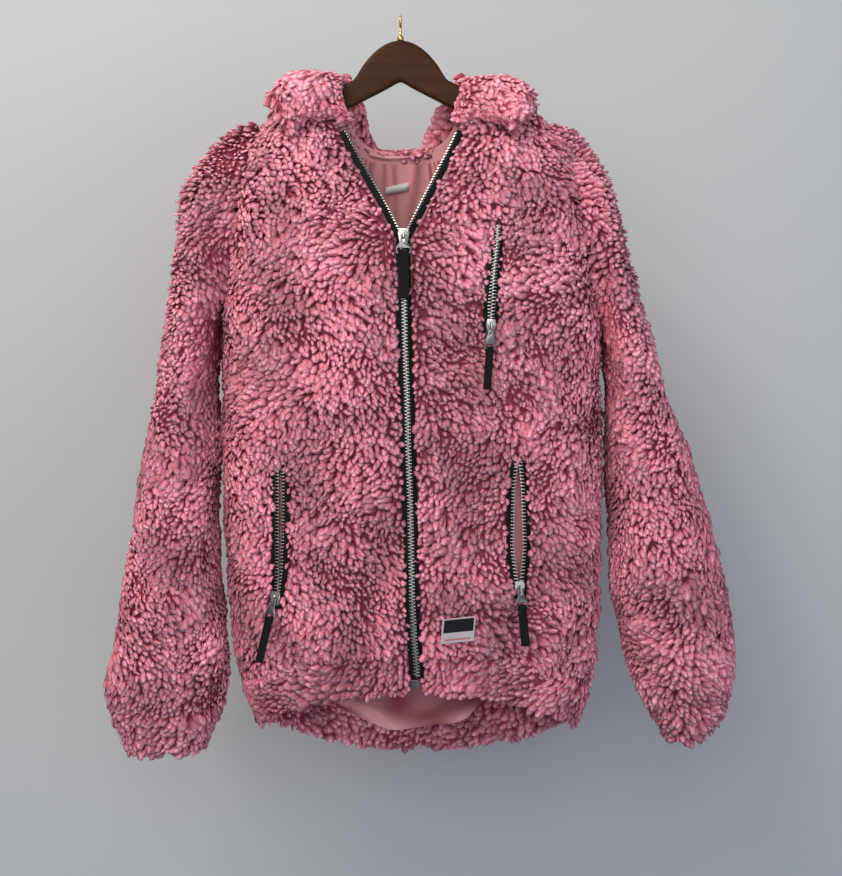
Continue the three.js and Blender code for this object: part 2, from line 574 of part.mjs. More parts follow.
// The two edges of a pocket's window carry its parted zip; behind them lies the pocket's satin.
const POCKET_TAPE = 6.4;
const FACING_MARGIN = 9;
const FACING_BEHIND = 1.4; // clear of the flats of the wall in front of it
const ends = (rows) => [rows[0].z - 1, rows.at(-1).z + 1];
for (const [name, rows] of Object.entries(POCKETS)) {
  const [top, bottom] = ends(rows);
  const heights = steps(6, top, bottom);
  for (const [side, edge, sign] of [["outer", "x0", 1], ["inner", "x1", -1]]) {
    const strip = heights.map((z) => {
      const x = columnAtZ(rows, edge, z);
      const wide = Math.min(POCKET_TAPE, (columnAtZ(rows, "x1", z) - columnAtZ(rows, "x0", z)) * 0.44);
      return [[x + sign * wide, z], [x - sign * UNDER_CLOTH, z]];
    });
    const tape = frontStrip(strip, chainSection(CHAIN_HALF / (POCKET_TAPE + UNDER_CLOTH)));
    const fill = pocketWindow(rows, SEAM_GAP);
    add(`${name}_tape_${side}`, fromSolid(solid(tape).intersect(fill)), BLACK_TAPE);
  }
  const facing = steps(6, top + FACING_MARGIN, bottom - FACING_MARGIN).map((z) => [
    [columnAtZ(rows, "x0", z) - FACING_MARGIN, z],
    [columnAtZ(rows, "x1", z) + FACING_MARGIN, z],
  ]);
  const [near, far] = [PILE_WALL + FACING_BEHIND, PILE_WALL + FACING_BEHIND + SATIN];
  const across = steps(4);
  const section = [...across.map((u) => [u, near]), ...across.map((u) => [1 - u, far])];
  add(`${name}_facing`, frontStrip(facing, section), SATIN_PINK);
}

// An outline in x and z swept outwards from the cloth, and one in out and z swept across.
const sweptOut = (outline, from, to) => solid(throughFront(outline, -to, -from));
function sweptAcross(outline, width) {
  const shape = new THREE.Shape(outline.map(([out, z]) => new THREE.Vector2(out, z)));
  const g = bareCopy(new THREE.ExtrudeGeometry(shape, { depth: width, bevelEnabled: false }));
  const turn = new THREE.Matrix4().set(0, 0, 1, -width / 2, -1, 0, 0, 0, 0, 1, 0, 0, 0, 0, 0, 1);
  return solid(mergeVertices(g.applyMatrix4(turn), 1e-4));
}
const box = (x, z, wide, tall) => [
  [x - wide / 2, z - tall / 2],
  [x + wide / 2, z - tall / 2],
  [x + wide / 2, z + tall / 2],
  [x - wide / 2, z + tall / 2],
];

// Where a small part lies on the front: the way out of the cloth as turns about z and x.
function layOfFront(x, z, below) {
  const [here, right, low] = [frontAt(x, z), frontAt(x + 4, z), frontAt(x, z - below)];
  const yaw = Math.atan2(right.y - here.y, right.x - here.x);
  const pitch = Math.atan2(low.y - here.y, here.z - low.z);
  return { yaw, pitch };
}
function laid(g, at, { yaw, pitch }, tilt) {
  return g.rotateY((tilt * Math.PI) / 180).rotateX(pitch).rotateZ(yaw).translate(at.x, at.y, at.z);
}

// The sliders and their pulls. A slider's bridge holds the tab's top bar, and the tab's foot holds a
// folded strap. x and z: the bar seen from the front. tilt: degrees that the pull hangs off upright.
const PULLS = [
  { name: "main", x: 4.6, z: -262, tilt: 0, head: 13, tab: 21, foot: 16, strap: 50 },
  { name: "right_pocket", x: -137.4, z: -660, tilt: 9, head: 12, tab: 23, foot: 13, strap: 48 },
  { name: "left_pocket", x: 133, z: -648, tilt: 0, head: 12, tab: 21, foot: 13.5, strap: 42 },
  { name: "chest_pocket", x: 100, z: -361, tilt: 5, head: 11, tab: 26, foot: 12.5, strap: 44 },
];
const SLIDER_BACK = CHAIN_TOP - 2 * SEAM_GAP; // below the tips of the pile
const SLIDER_THICK = 2.2;
const BAR_OUT = 2.7; // the tab's bar in front of the slider's plate
const TAB_THICK = 1.6;
const BRIDGE = { wide: 2, inside: 4, thick: 1.1, reach: 3.8, leg: 1.3 };
const EYE = { half: 1.7, long: 7.4, bar: 0.8, rim: 1.7 };
const FOOT_BAR = 2;
const FOOT_SLOT = 4;
const FOOT_TOP = 7.2;
const WEB_THICK = 1;
const WEB_PLAY = 0.5;
const PULL_PLAY = 0.8; // the least air between a resting strap and the pile

function slider({ head }) {
  const [wide, narrow, tall] = [head / 2, head * 0.34, 8];
  const outline = [
    [-narrow, -tall], [narrow, -tall], [wide, tall * 0.4],
    [wide * 0.8, tall], [-wide * 0.8, tall], [-wide, tall * 0.4],
  ];
  const plate = sweptOut(outline, -SLIDER_THICK, 0);
  const { inside, thick, reach, leg, wide: bridgeWide } = BRIDGE;
  const arch = sweptAcross(
    [
      [-0.3, reach], [inside + thick, reach - 0.8], [inside + thick, 0.8 - reach], [-0.3, -reach],
      [-0.3, leg - reach], [inside, leg + 0.3 - reach], [inside, reach - leg - 0.3], [-0.3, reach - leg],
    ],
    bridgeWide,
  );
  return fromSolid(plate.add(arch));
}
function pullTab({ tab, foot }) {
  const head = EYE.half + EYE.rim;
  const outline = [
    [-head, EYE.bar], [-head, -EYE.long], [-foot / 2, FOOT_TOP - tab], [-foot / 2, -tab],
    [foot / 2, -tab], [foot / 2, FOOT_TOP - tab], [head, -EYE.long], [head, EYE.bar],
  ];
  const eye = box(0, -EYE.bar - EYE.long / 2, EYE.half * 2, EYE.long);
  const slot = box(0, -tab + FOOT_BAR + FOOT_SLOT / 2, foot - 2.6, FOOT_SLOT);
  const [from, to] = [-TAB_THICK / 2, TAB_THICK / 2];
  const cuts = [eye, slot].map((hole) => sweptOut(hole, from - 1, to + 1));
  return fromSolid(cutAll(sweptOut(outline, from, to), cuts));
}
function pullStrap({ tab, foot, strap }) {
  const barMiddle = -tab + FOOT_BAR / 2;
  const half = TAB_THICK / 2 + WEB_PLAY;
  const top = barMiddle + FOOT_BAR / 2 + WEB_PLAY;
  const bottom = barMiddle - FOOT_BAR / 2 - WEB_PLAY;
  const outer = half + WEB_THICK;
  const outline = [
    [-outer, top], [-half * 0.6, top + WEB_THICK], [half * 0.6, top + WEB_THICK], [outer, top],
    [outer, bottom - 1], [WEB_THICK, bottom - 4], [WEB_THICK, -tab - strap], [-WEB_THICK, -tab - strap],
    [-WEB_THICK, bottom - 4], [-outer, bottom - 1],
  ];
  const hole = [
    [-half, top - 0.4], [-half * 0.6, top], [half * 0.6, top],
    [half, top - 0.4], [half, bottom], [-half, bottom],
  ];
  const wide = foot - 4;
  return fromSolid(sweptAcross(outline, wide).subtract(sweptAcross(hole, wide + 2)));
}
// How far a pull must lean out so that it clears the pile below it.
function restingLean(pull, pivot) {
  const clearance = TAB_THICK / 2 + WEB_PLAY + WEB_THICK + PULL_PLAY;
  const leans = steps(12, 8, pull.tab + pull.strap).flatMap((down) =>
    [-1, 0, 1].map((side) => {
      const slant = (pull.tilt * Math.PI) / 180;
      const x = pivot.x - Math.sin(slant) * down + (side * pull.foot) / 2;
      const clear = down > pull.tab + 8 ? PULL_PLAY + WEB_THICK : clearance;
      const near = frontAt(x, pivot.z - Math.cos(slant) * down, clear);
      return Math.atan2(pivot.y - near.y, down);
    }),
  );
  return Math.max(...leans);
}
const pullFrames = {};
for (const pull of PULLS) {
  const lay = layOfFront(pull.x, pull.z, 6);
  const plate = frontAt(pull.x, pull.z, SLIDER_THICK - SLIDER_BACK);
  add(`${pull.name}_slider`, laid(slider(pull), plate, lay, pull.tilt), ZIP_METAL);
  const out = vec(Math.sin(lay.yaw), -Math.cos(lay.yaw), 0).applyAxisAngle(
    vec(Math.cos(lay.yaw), Math.sin(lay.yaw), 0),
    lay.pitch,
  );
  const pivot = plate.clone().addScaledVector(out, BAR_OUT);
  const lean = restingLean(pull, pivot);
  const rest = { yaw: lay.yaw, pitch: -lean };
  add(`${pull.name}_pull_tab`, laid(pullTab(pull), pivot, rest, pull.tilt), ZIP_METAL);
  add(`${pull.name}_pull_strap`, laid(pullStrap(pull), pivot, rest, pull.tilt), BLACK_TAPE);
  const slant = (pull.tilt * Math.PI) / 180;
  const axis = vec(Math.cos(slant), 0, -Math.sin(slant)).applyAxisAngle(vec(1, 0, 0), -lean);
  axis.applyAxisAngle(vec(0, 0, 1), lay.yaw);
  pullFrames[pull.name] = { pivot, axis: axis.negate(), lean };
}
jacket.userData.pulls = pullFrames;

// The foot of the zip: a box that holds both tapes' pins.
const ZIP_BOX = { x: 16.5, z: -753.3, wide: 8.5, tall: 10, thick: 4.5 };
const boxFrame = layOfFront(ZIP_BOX.x, ZIP_BOX.z + 8, 6);
const boxPlace = frontAt(ZIP_BOX.x, ZIP_BOX.z, -TAPE_UNDER);
const boxBody = sweptOut(box(0, 0, ZIP_BOX.wide, ZIP_BOX.tall), 0, ZIP_BOX.thick);
add("zip_box", laid(fromSolid(boxBody), boxPlace, boxFrame, 0), ZIP_METAL);

// The woven patch lies in the pile above the hem, on the wearer's left.
const PATCH = { x: 64, z: -692, wide: 36, tall: 27, thick: 1.2, tilt: 5, above: 0.6 };
const patchRows = steps(4, -PATCH.tall / 2, PATCH.tall / 2).map((up) => {
  const slope = Math.tan((PATCH.tilt * Math.PI) / 180);
  const ends = [-PATCH.wide / 2, PATCH.wide / 2].map((across) => [
    PATCH.x + across + up * slope,
    PATCH.z + up + across * slope,
  ]);
  return ends;
});
const patchAcross = steps(5);
const patchSection = [
  ...patchAcross.map((u) => [u, -PATCH.above]),
  ...patchAcross.map((u) => [1 - u, -PATCH.above - PATCH.thick]),
];
add("hem_patch", frontStrip(patchRows, patchSection), PATCH_WHITE);

// The satin lining of the back, gathered below the neck and hanging past the front hem.
const LINING = {
  from: 0.32, to: 0.68, top: 12.1, clear: 1.6, gathers: 9, gatherDeep: 2.4, droop: 44, swing: 19,
};
function liningPoint(down, turn, inward) {
  const across = (turn - LINING.from) / (LINING.to - LINING.from);
  const fall = Math.min(1, down / 0.86);
  const row = LINING.top + (HEM_TOP + 0.3 - LINING.top) * fall;
  const ease = Math.sin(Math.PI * Math.min(1, across * 4, (1 - across) * 4) * 0.5);
  const gather = LINING.gatherDeep * (1 - Math.cos(2 * Math.PI * LINING.gathers * across)) * 0.5;
  const fade = Math.exp(-fall * 4) * ease;
  const offHem = 4 * Math.max(0, fall - 0.85) / 0.15;
  const point = bodyPoint(row, turn, -PILE_WALL - LINING.clear - gather * fade - offHem - inward);
  const past = Math.max(0, down - 0.86) / 0.14;
  const drop = LINING.droop * Math.sin(Math.PI * across) ** 0.7;
  return point.add(vec(0, -past * (LINING.swing + 3 * Math.sin(across * 21)), -past * drop));
}
const liningTurns = steps(27, LINING.from, LINING.to);
const liningDowns = [...steps(9, 0, 0.86), 0.93, 1];
const liningGrid = (inward) => liningDowns.map((d) => liningTurns.map((t) => liningPoint(d, t, inward)));
add("lining_back", fromSolid(solid(wall(liningGrid(0), liningGrid(SATIN)))), SATIN_PINK);

// The satin facing inside the back of the neck, its hanging loop and the blank label.
const neckTurns = steps(16, 0.33, 0.67);
const facingGrid = (inward) =>
  [12.13, 12.55, NECK - 0.02].map((r) => neckTurns.map((t) => bodyPoint(r, t, -PILE_WALL - 1.2 - inward)));
add("neck_facing", fromSolid(solid(wall(facingGrid(0), facingGrid(SATIN)))), SATIN_PINK);

const LOOP = { x0: -36, x1: 17, z: -160, sag: 3.5, tall: 4.5, thick: 1.6, turnOut: 1.4 };
const backInside = (x, z, inward) => {
  const turnAt = (row) => solve((turn) => -bodyBase(row, turn).x, -x, 0.251, 0.749);
  const row = solve((r) => bodyBase(r, turnAt(r)).z, z, 0, NECK);
  return bodyPoint(row, turnAt(row), -inward);
};
const insideFacing = PILE_WALL + 1.2 + SATIN + SEAM_GAP + 0.3;
const loopRows = steps(10).map((u) => {
  const x = LOOP.x0 + (LOOP.x1 - LOOP.x0) * u;
  const bow = Math.sin(Math.PI * u);
  const z = LOOP.z - LOOP.sag * bow;
  const at = (inward, up) => backInside(x, z + up, insideFacing + LOOP.turnOut * bow + inward);
  const [half, thick] = [LOOP.tall / 2, LOOP.thick];
  return [at(0, half), at(0, -half), at(thick, -half), at(thick, half)];
});
const square = [[0, 0], [0, 1], [1, 1], [1, 0]];
add("hang_loop", loftSection(loopRows, square), SATIN_PINK);

const LABEL = { x0: -20, x1: 8, z: -195, tall: 9, thick: 1, tilt: 0.13 };
const liningFront = PILE_WALL + LINING.clear + SATIN + LINING.gatherDeep + 0.15;
const labelRows = steps(4).map((u) => {
  const x = LABEL.x0 + (LABEL.x1 - LABEL.x0) * u;
  const z = LABEL.z + (x - LABEL.x0) * LABEL.tilt;
  const at = (inward, up) => backInside(x, z + up, liningFront + inward);
  const half = LABEL.tall / 2;
  return [at(0, half), at(0, -half), at(LABEL.thick, -half), at(LABEL.thick, half)];
});
add("neck_label", loftSection(labelRows, square), PATCH_WHITE);

// The hanger: a flat board with an arched top, its arms sloping down inside the shoulders. Each row holds
// the distance from the middle and the height of the top and of the underside there.
const HANGER_THICK = 12;
const HANGER_BEVEL = 2.5;
const HANGER_TOP = -26.6; // of the arch, where the stem stands
const HANGER_ROWS = [
  { away: 4, top: -26.9, under: -75.1 },
  { away: 11, top: -28.5, under: -79.1 },
  { away: 20, top: -32.7, under: -84 },
  { away: 30, top: -40.4, under: -89.2 },
  { away: 42, top: -53.9, under: -95.2 },
  { away: 53.5, top: -71.2, under: -100.9 },
  { away: 60, top: -75.1, under: -104.5 },
  { away: 85, top: -90.1, under: -118.3 },
  { away: 120, top: -111.1, under: -137.7 },
  { away: 160, top: -135.1, under: -159.9 },
  { away: 190, top: -153.1, under: -176.4 },
  { away: 204, top: -161.5, under: -184.2 },
];
const mirrored = HANGER_ROWS.map((row) => ({ ...row, away: -row.away })).reverse();
const hangerRows = [...mirrored, ...HANGER_ROWS].map(({ away, top, under }) => {
  const half = HANGER_THICK / 2;
  const flat = half - HANGER_BEVEL;
  return [
    [-half, top - HANGER_BEVEL], [-flat, top], [flat, top], [half, top - HANGER_BEVEL],
    [half, under + HANGER_BEVEL], [flat, under], [-flat, under], [-half, under + HANGER_BEVEL],
  ].map(([y, z]) => vec(away, y, z));
});
const hangerSection = [[0, 1], [1, 0], [2, 0], [3, 1], [3, 4], [2, 5], [1, 5], [0, 4]];
add("hanger_body", loftSection(hangerRows, hangerSection), WALNUT);

// The stem and its eye, seen edge on from the front. The origin is the eye's inner top.
const WIRE = 1.5; // half the wire's thickness
const EYE_RADIUS = 4.5;
const EYE_SPREAD = 0.92; // how much of the ring is closed, each way from its top, in half turns
const COLLAR = 4;
const roundTurns = (count) => steps(count).slice(0, -1).map((u) => u * 2 * Math.PI);
const eyePath = new THREE.CatmullRomCurve3(
  steps(16, -EYE_SPREAD, EYE_SPREAD).map((u) => {
    const angle = (u + 0.5) * Math.PI;
    const reach = EYE_RADIUS + WIRE;
    return vec(0, Math.cos(angle) * reach, -EYE_RADIUS + Math.sin(angle) * reach);
  }),
);
const wireRing = roundTurns(6).map((a) => new THREE.Vector2(Math.cos(a) * WIRE, Math.sin(a) * WIRE));
const wireShape = new THREE.Shape(wireRing);
const bentEye = { steps: 14, extrudePath: eyePath, bevelEnabled: false };
const eye = bareCopy(new THREE.ExtrudeGeometry(wireShape, bentEye));
const stemRows = [
  { z: -2 * EYE_RADIUS - WIRE + 0.6, radius: WIRE },
  { z: -21, radius: WIRE },
  { z: -23, radius: COLLAR },
  { z: HANGER_TOP + 0.4, radius: COLLAR },
];
const stemRings = stemRows.map(({ z, radius }) =>
  roundTurns(10).map((a) => vec(Math.cos(a) * radius, Math.sin(a) * radius, z)),
);
const stem = solid(filled(stemRings)).add(solid(mergeVertices(eye, 1e-4)));
add("hanger_stem", fromSolid(stem), BRASS);
export default jacket;
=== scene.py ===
# %% [markdown]
# A hooded teddy-fleece zip jacket on a wooden hanger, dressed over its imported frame.
# Lengths in the tables are millimetres, and every mesh is made in metres at the end.
# +X is the wearer's left, -Y the front, +Z up, and the origin is the inner top of the hanger's eye.

import bmesh
import bpy
import numpy as np
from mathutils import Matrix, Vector, kdtree
from mathutils.bvhtree import BVHTree


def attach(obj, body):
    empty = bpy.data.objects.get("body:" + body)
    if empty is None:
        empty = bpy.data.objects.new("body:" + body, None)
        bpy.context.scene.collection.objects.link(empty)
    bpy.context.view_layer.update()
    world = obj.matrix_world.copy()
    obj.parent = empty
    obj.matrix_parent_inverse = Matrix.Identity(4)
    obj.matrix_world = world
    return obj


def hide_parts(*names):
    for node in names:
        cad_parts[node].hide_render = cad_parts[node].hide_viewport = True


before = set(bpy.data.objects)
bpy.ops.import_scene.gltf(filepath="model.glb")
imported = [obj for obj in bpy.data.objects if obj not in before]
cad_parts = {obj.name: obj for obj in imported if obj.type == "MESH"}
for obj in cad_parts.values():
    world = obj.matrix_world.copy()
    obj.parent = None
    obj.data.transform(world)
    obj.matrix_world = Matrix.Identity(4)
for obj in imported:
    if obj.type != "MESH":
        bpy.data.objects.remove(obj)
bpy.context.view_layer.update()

# %% [markdown]
# The garment's own shape, as tables read off the object. One row a ring, from the hem up.

# %% Tables of the body, the zip, the sleeves and the hood


def table(names, *rows):
    columns = np.array(rows, float).T
    return dict(zip(names.split(), columns))


BODY = table(
    "right left side_z front_y front_z back_y back_z square",
    (-165, 207, -806, -80, -763, 78, -850, 2.4),
    (-182, 219, -765, -89, -717, 88, -802, 2.4),
    (-195, 229, -700, -93, -665, 95, -735, 2.4),
    (-201, 231, -630, -91, -610, 96, -650, 2.4),
    (-205, 232, -540, -90, -530, 95, -548, 2.4),
    (-206, 232, -460, -90, -457, 95, -462, 2.4),
    (-206, 231, -385, -90, -390, 95, -388, 2.4),
    (-205, 229, -325, -91, -340, 94, -335, 2.4),
    (-202, 225, -265, -91, -305, 92, -298, 2.4),
    (-195, 218, -205, -88, -275, 88, -264, 2.4),
    (-179, 200, -150, -84, -250, 82, -232, 2.4),
    (-150, 162, -114, -76, -228, 74, -204, 2.5),
    (-112, 120, -92, -64, -202, 64, -176, 3),
    (-74, 78, -70.5, -48, -172, 52, -146, 4),
)
HEM_TOP = 1
NECK = 13

ZIP_LINE = table(
    "z x",
    (-775, 18.5), (-736, 19), (-703, 16), (-660, 13.8), (-605, 12.7), (-550, 11.6),
    (-496, 9.4), (-441, 8.3), (-387, 6.2), (-333, 5), (-262, 4),
)
SLIDER_Z = -262  # the zip is closed below it, and its two edges part above it
NECK_RIGHT = table("z x", (-262, 2.4), (-253, -1.2), (-218, -18.3), (-174, -41.9), (-136, -61.5))
NECK_LEFT = table("z x", (-262, 5.6), (-253, 10.2), (-213, 29.1), (-172, 48), (-136, 65))

SLEEVES = {
    "right": table(
        "up_x up_z low_x low_z half",
        (-150, -116, -152, -288, 38), (-190, -129, -183, -316, 42), (-225, -163, -206, -338, 50),
        (-246, -209, -212, -356, 58), (-254, -267, -212.5, -377, 62), (-265, -336, -212.5, -404, 64),
        (-277, -405, -212.5, -442, 65), (-290, -474, -212, -491, 65), (-305, -554, -211, -552, 65),
        (-317, -635, -207, -624, 65), (-332, -715, -200, -692, 64), (-341, -765, -197, -750, 60),
        (-335, -797, -204, -789, 52), (-327, -810, -211, -806, 46), (-322, -823, -216, -821, 42),
        (-317, -836, -222, -836, 38),
    ),
    "left": table(
        "up_x up_z low_x low_z half",
        (160, -116, 166, -288, 38), (193, -130, 201, -316, 42), (224, -167, 228, -340, 50),
        (247, -221, 236, -358, 58), (262, -290, 238, -381, 62), (281, -359, 238.5, -411, 64),
        (304, -428, 239, -453, 65), (333, -497, 239, -507, 65), (354, -566, 239, -566, 65),
        (373, -646, 241, -640, 64), (385, -715, 252, -703, 62), (383, -760, 266, -750, 56),
        (377, -786, 279, -778, 48), (370, -798, 286, -793, 43), (358, -810, 293, -807, 38),
        (345, -821, 300, -821, 34),
    ),
}
CUFF_ROW = 12
SLEEVE_END = 15

# turn: the place on the neck seam. Then the sizes across and down the profile, from the seam.
HOOD = table(
    "turn rise reach drop pouch back lean",
    (0.12, 17, 62, 14, 4, 10, -14),
    (0.19, 13, 66, 22, 6, 8, -4),
    (0.26, 11, 64, 32, 12, 12, 0),
    (0.33, 16, 64, 92, 32, 60, 0),
    (0.41, 9, 58, 190, 52, 148, 0),
    (0.5, 2, 54, 240, 62, 192, 0),
)
HOOD_SINK = {"right": 5, "left": 9}  # how far the pile's weight presses each end of the roll down
MOUND_START, MOUND_END, MOUND_RISE = 0.35, 0.482, 48  # where on the neck seam the roll stands higher
PRESS, PRESS_Z, PRESS_REACH = 6, -415, 150  # how far the body pushes a sleeve's inner edge, and where
SLEEVE_MIDDLE_Y = 2.0
SLEEVE_SQUARE = 2.3

# side (front -1, back 1), the two ends of the fold as x and z, its width and its rise.
FOLDS = (
    (-1, -92, -145, -96, -260, 20, 5), (-1, -84, -140, -86, -215, 12, -5),
    (-1, 112, -150, 118, -240, 18, 5), (-1, 128, -145, 130, -225, 12, -5),
    (-1, 30, -330, 98, -585, 26, -8), (-1, -34, -300, -100, -480, 30, 5),
    (-1, -20, -595, -52, -745, 20, -8), (-1, -8, -610, -30, -740, 18, 6),
    (-1, -130, -690, -102, -760, 14, -5), (-1, 152, -610, 104, -745, 22, -6),
    (1, -120, -300, -60, -620, 32, -7), (1, 130, -320, 95, -640, 30, -6),
    (1, 20, -440, 10, -720, 34, 5),
)

POCKETS = {
    "right_pocket": table(
        "z x0 x1", (-512, -144, -122.5), (-580, -144, -122.5), (-628, -144, -124.5), (-672, -144.5, -130)
    ),
    "left_pocket": table(
        "z x0 x1", (-506, 122, 141), (-540, 118.5, 144), (-602, 117, 146), (-630, 121, 144.5),
        (-660, 125, 141),
    ),
    "chest_pocket": table(
        "z x0 x1", (-245, 106, 113), (-268, 102, 114), (-300, 96, 112.5), (-335, 91.5, 111.5),
        (-372, 92, 107),
    ),
}
print("tables:", len(BODY["square"]), "rings of the body,", len(FOLDS), "folds")

# %% [markdown]
# The surfaces that every piece is laid on. Each takes arrays and gives points a few millimetres in or out.

# %% Surfaces of the body, the sleeves and the hood


def spread(*values):
    """The values as arrays of one shape."""
    return np.broadcast_arrays(*(np.asarray(value, float) for value in values))


def smooth(pick, at, last):
    """A smooth curve through numbered values. pick: the values at whole numbers, 0 to last."""
    low = np.clip(np.floor(at), 0, last - 1).astype(int)
    a, b, c, d = (pick(np.clip(low + k, 0, last)) for k in (-1, 0, 1, 2))
    t = at - low
    t = t.reshape(t.shape + (1,) * (b.ndim - t.ndim))
    return b + 0.5 * t * (c - a + t * (2 * a - 5 * b + 4 * c - d + t * (3 * (b - c) + d - a)))


def column(source, name, row):
    """The value of one column at a fractional row."""
    values = source[name]
    return smooth(lambda i: values[i], np.asarray(row, float), len(values) - 1)


def at_height(source, name, z):
    order = np.argsort(source["z"])
    return np.interp(z, source["z"][order], source[name][order])


def signed_power(value, power):
    return np.sign(value) * np.abs(value) ** power


def unit(v):
    return v / np.maximum(np.linalg.norm(v, axis=-1, keepdims=True), 1e-9)


def body_base(row, turn):
    """The body before its folds. turn: 0 at the front, a quarter at the wearer's left side."""
    row, turn = spread(row, turn)
    get = lambda name: column(BODY, name, row)
    s, c = np.sin(2 * np.pi * turn), np.cos(2 * np.pi * turn)
    power = 2 / get("square")
    front = c > 0
    middle = (get("right") + get("left")) / 2
    half = (get("left") - get("right")) / 2
    z = get("side_z") + (np.where(front, get("front_z"), get("back_z")) - get("side_z")) * c * c
    y = np.where(front, get("front_y"), get("back_y")) * np.abs(c) ** power
    shift = np.where(front & (row < 11), (at_height(ZIP_LINE, "x", z) - middle) * c**6, 0)
    return np.stack([middle + half * signed_power(s, power) + shift, y, z], -1)


def fold_rise(p):
    """How far the folds lift the cloth at points of the body."""
    x, y, z = p[..., 0], p[..., 1], p[..., 2]
    rise = np.zeros(x.shape)
    for side, x0, z0, x1, z1, wide, height in FOLDS:
        dx, dz = x1 - x0, z1 - z0
        t = np.clip(((x - x0) * dx + (z - z0) * dz) / (dx * dx + dz * dz), 0, 1)
        off = np.hypot(x - x0 - t * dx, z - z0 - t * dz) / wide
        fold = height * np.sin(np.pi * (0.1 + 0.8 * t)) * np.exp(-off * off)
        rise += np.where(y * side > 0, fold, 0)
    return rise * np.minimum(1, np.abs(y) / 50)


def body_point(row, turn, out=0.0):
    base = body_base(row, turn)
    up = body_base(np.minimum(NECK, row + 0.02), turn) - body_base(np.maximum(0, row - 0.02), turn)
    round_ = body_base(row, turn + 0.002) - body_base(row, turn - 0.002)
    return base + unit(np.cross(round_, up)) * (fold_rise(base) + out)[..., None]


def solve(rising, target, low, high):
    """Where a rising function reaches its target, found by halving."""
    low = np.full(np.shape(target), float(low))
    high = np.full(np.shape(target), float(high))
    for _ in range(20):
        middle = (low + high) / 2
        below = rising(middle) < target
        low = np.where(below, middle, low)
        high = np.where(below, high, middle)
    return (low + high) / 2


def wall_at(x, z, out=0.0, back=False):
    """The point of the front, or of the back, at x and z, moved out by the given distance."""
    x, z, out = spread(x, z, out)
    way, ends = (-1, (0.251, 0.749)) if back else (1, (-0.249, 0.249))
    turn_at = lambda row: solve(lambda turn: way * body_base(row, turn)[..., 0], way * x, *ends)
    row = solve(lambda r: body_base(r, turn_at(r))[..., 2], z, 0, NECK)
    return body_point(row, turn_at(row), out)


def sleeve_point(side, row, turn, out=0.0):
    """A sleeve's outer surface. turn: 0 at the upper edge, a quarter at the front."""
    row, turn = spread(row, turn)
    get = lambda name: column(SLEEVES[side], name, row)
    y = np.full(row.shape, SLEEVE_MIDDLE_Y)
    up = np.stack([get("up_x"), y, get("up_z")], -1)
    press = PRESS * np.exp(-(((get("low_z") - PRESS_Z) / PRESS_REACH) ** 4))
    low = np.stack([get("low_x") + (press if side == "right" else -press), y, get("low_z")], -1)
    reach = np.linalg.norm(up - low, axis=-1) / 2 + out
    c = signed_power(np.cos(2 * np.pi * turn), 2 / SLEEVE_SQUARE)
    s = signed_power(np.sin(2 * np.pi * turn), 2 / SLEEVE_SQUARE)
    deep = np.stack([0 * s, -(get("half") + out) * s, 0 * s], -1)
    return (up + low) / 2 + unit(up - low) * (reach * c)[..., None] + deep


def hood_middle(along, down):
    """The hood's wall. along: 0 at the right front end, 1 at the left. down: from the seam."""
    along, down = spread(along, down)
    left = along >= 0.5
    station = np.where(left, 2 - along * 2, along * 2) * 5
    rise, reach, drop, pouch, back, lean = (
        column(HOOD, name, station) for name in ("rise", "reach", "drop", "pouch", "back", "lean")
    )
    place = column(HOOD, "turn", station)
    turn = np.where(left, place, 1 - place)
    mirror = np.where(left, 1, -1)
    rise = rise - np.where(left, HOOD_SINK["left"], HOOD_SINK["right"]) * np.clip(3.2 - station, 0, 1)
    step = np.clip((MOUND_END - place) / 0.062, 0, 1) * np.clip((place - MOUND_START) / 0.04, 0, 1)
    rise = rise + MOUND_RISE * step * step * (3 - 2 * step)
    seam = body_point(np.full(along.shape, float(NECK)), turn, -5.0)
    outward = body_base(NECK, turn) - np.array([2.0, 0, 0])
    facing = np.arctan2(outward[..., 1], outward[..., 0] * mirror) - lean / 60
    profile = (
        (0 * reach, 0 * rise + 1), (0 * reach + 1, rise * 0.62), (reach * 0.24, rise),
        (reach * 0.62, rise * 0.72 - drop * 0.06), (reach * 0.96, rise * 0.2 - drop * 0.3),
        (reach, -drop * 0.72), (reach + pouch * 0.35, -drop), (reach + pouch * 0.9, -drop * 0.86),
        (reach + pouch, back * 0.55 - drop * 0.9), (reach + pouch * 0.86, back - drop),
    )
    stack = np.stack([np.stack(pair, -1) for pair in profile], 0)
    pick = lambda i: np.take_along_axis(stack, i[None, ..., None].repeat(2, -1), 0)[0]
    last = len(profile) - 1
    across, height = np.moveaxis(smooth(pick, down * last, last), -1, 0)
    return seam + np.stack([np.cos(facing) * across * mirror, np.sin(facing) * across, height], -1)


def hood_point(along, down, out=0.0):
    """The hood's wall, moved out by the given distance."""
    along, down = spread(along, down)
    near, far = np.maximum(0, along - 0.004), np.minimum(1, along + 0.004)
    above, below = np.maximum(0, down - 0.01), np.minimum(1, down + 0.01)
    round_ = hood_middle(far, down) - hood_middle(near, down)
    fall = hood_middle(along, below) - hood_middle(along, above)
    return hood_middle(along, down) + unit(np.cross(round_, fall)) * np.asarray(out)[..., None]


check = wall_at(np.array([0.0, -100.0]), np.array([-400.0, -600.0]))
print("the front at two places:", np.round(check, 1).tolist())

# %% [markdown]
# Small helpers: meshes from arrays of points and faces, materials from nodes, and soft seeded noise.

# %% Helpers for meshes, nodes and noise


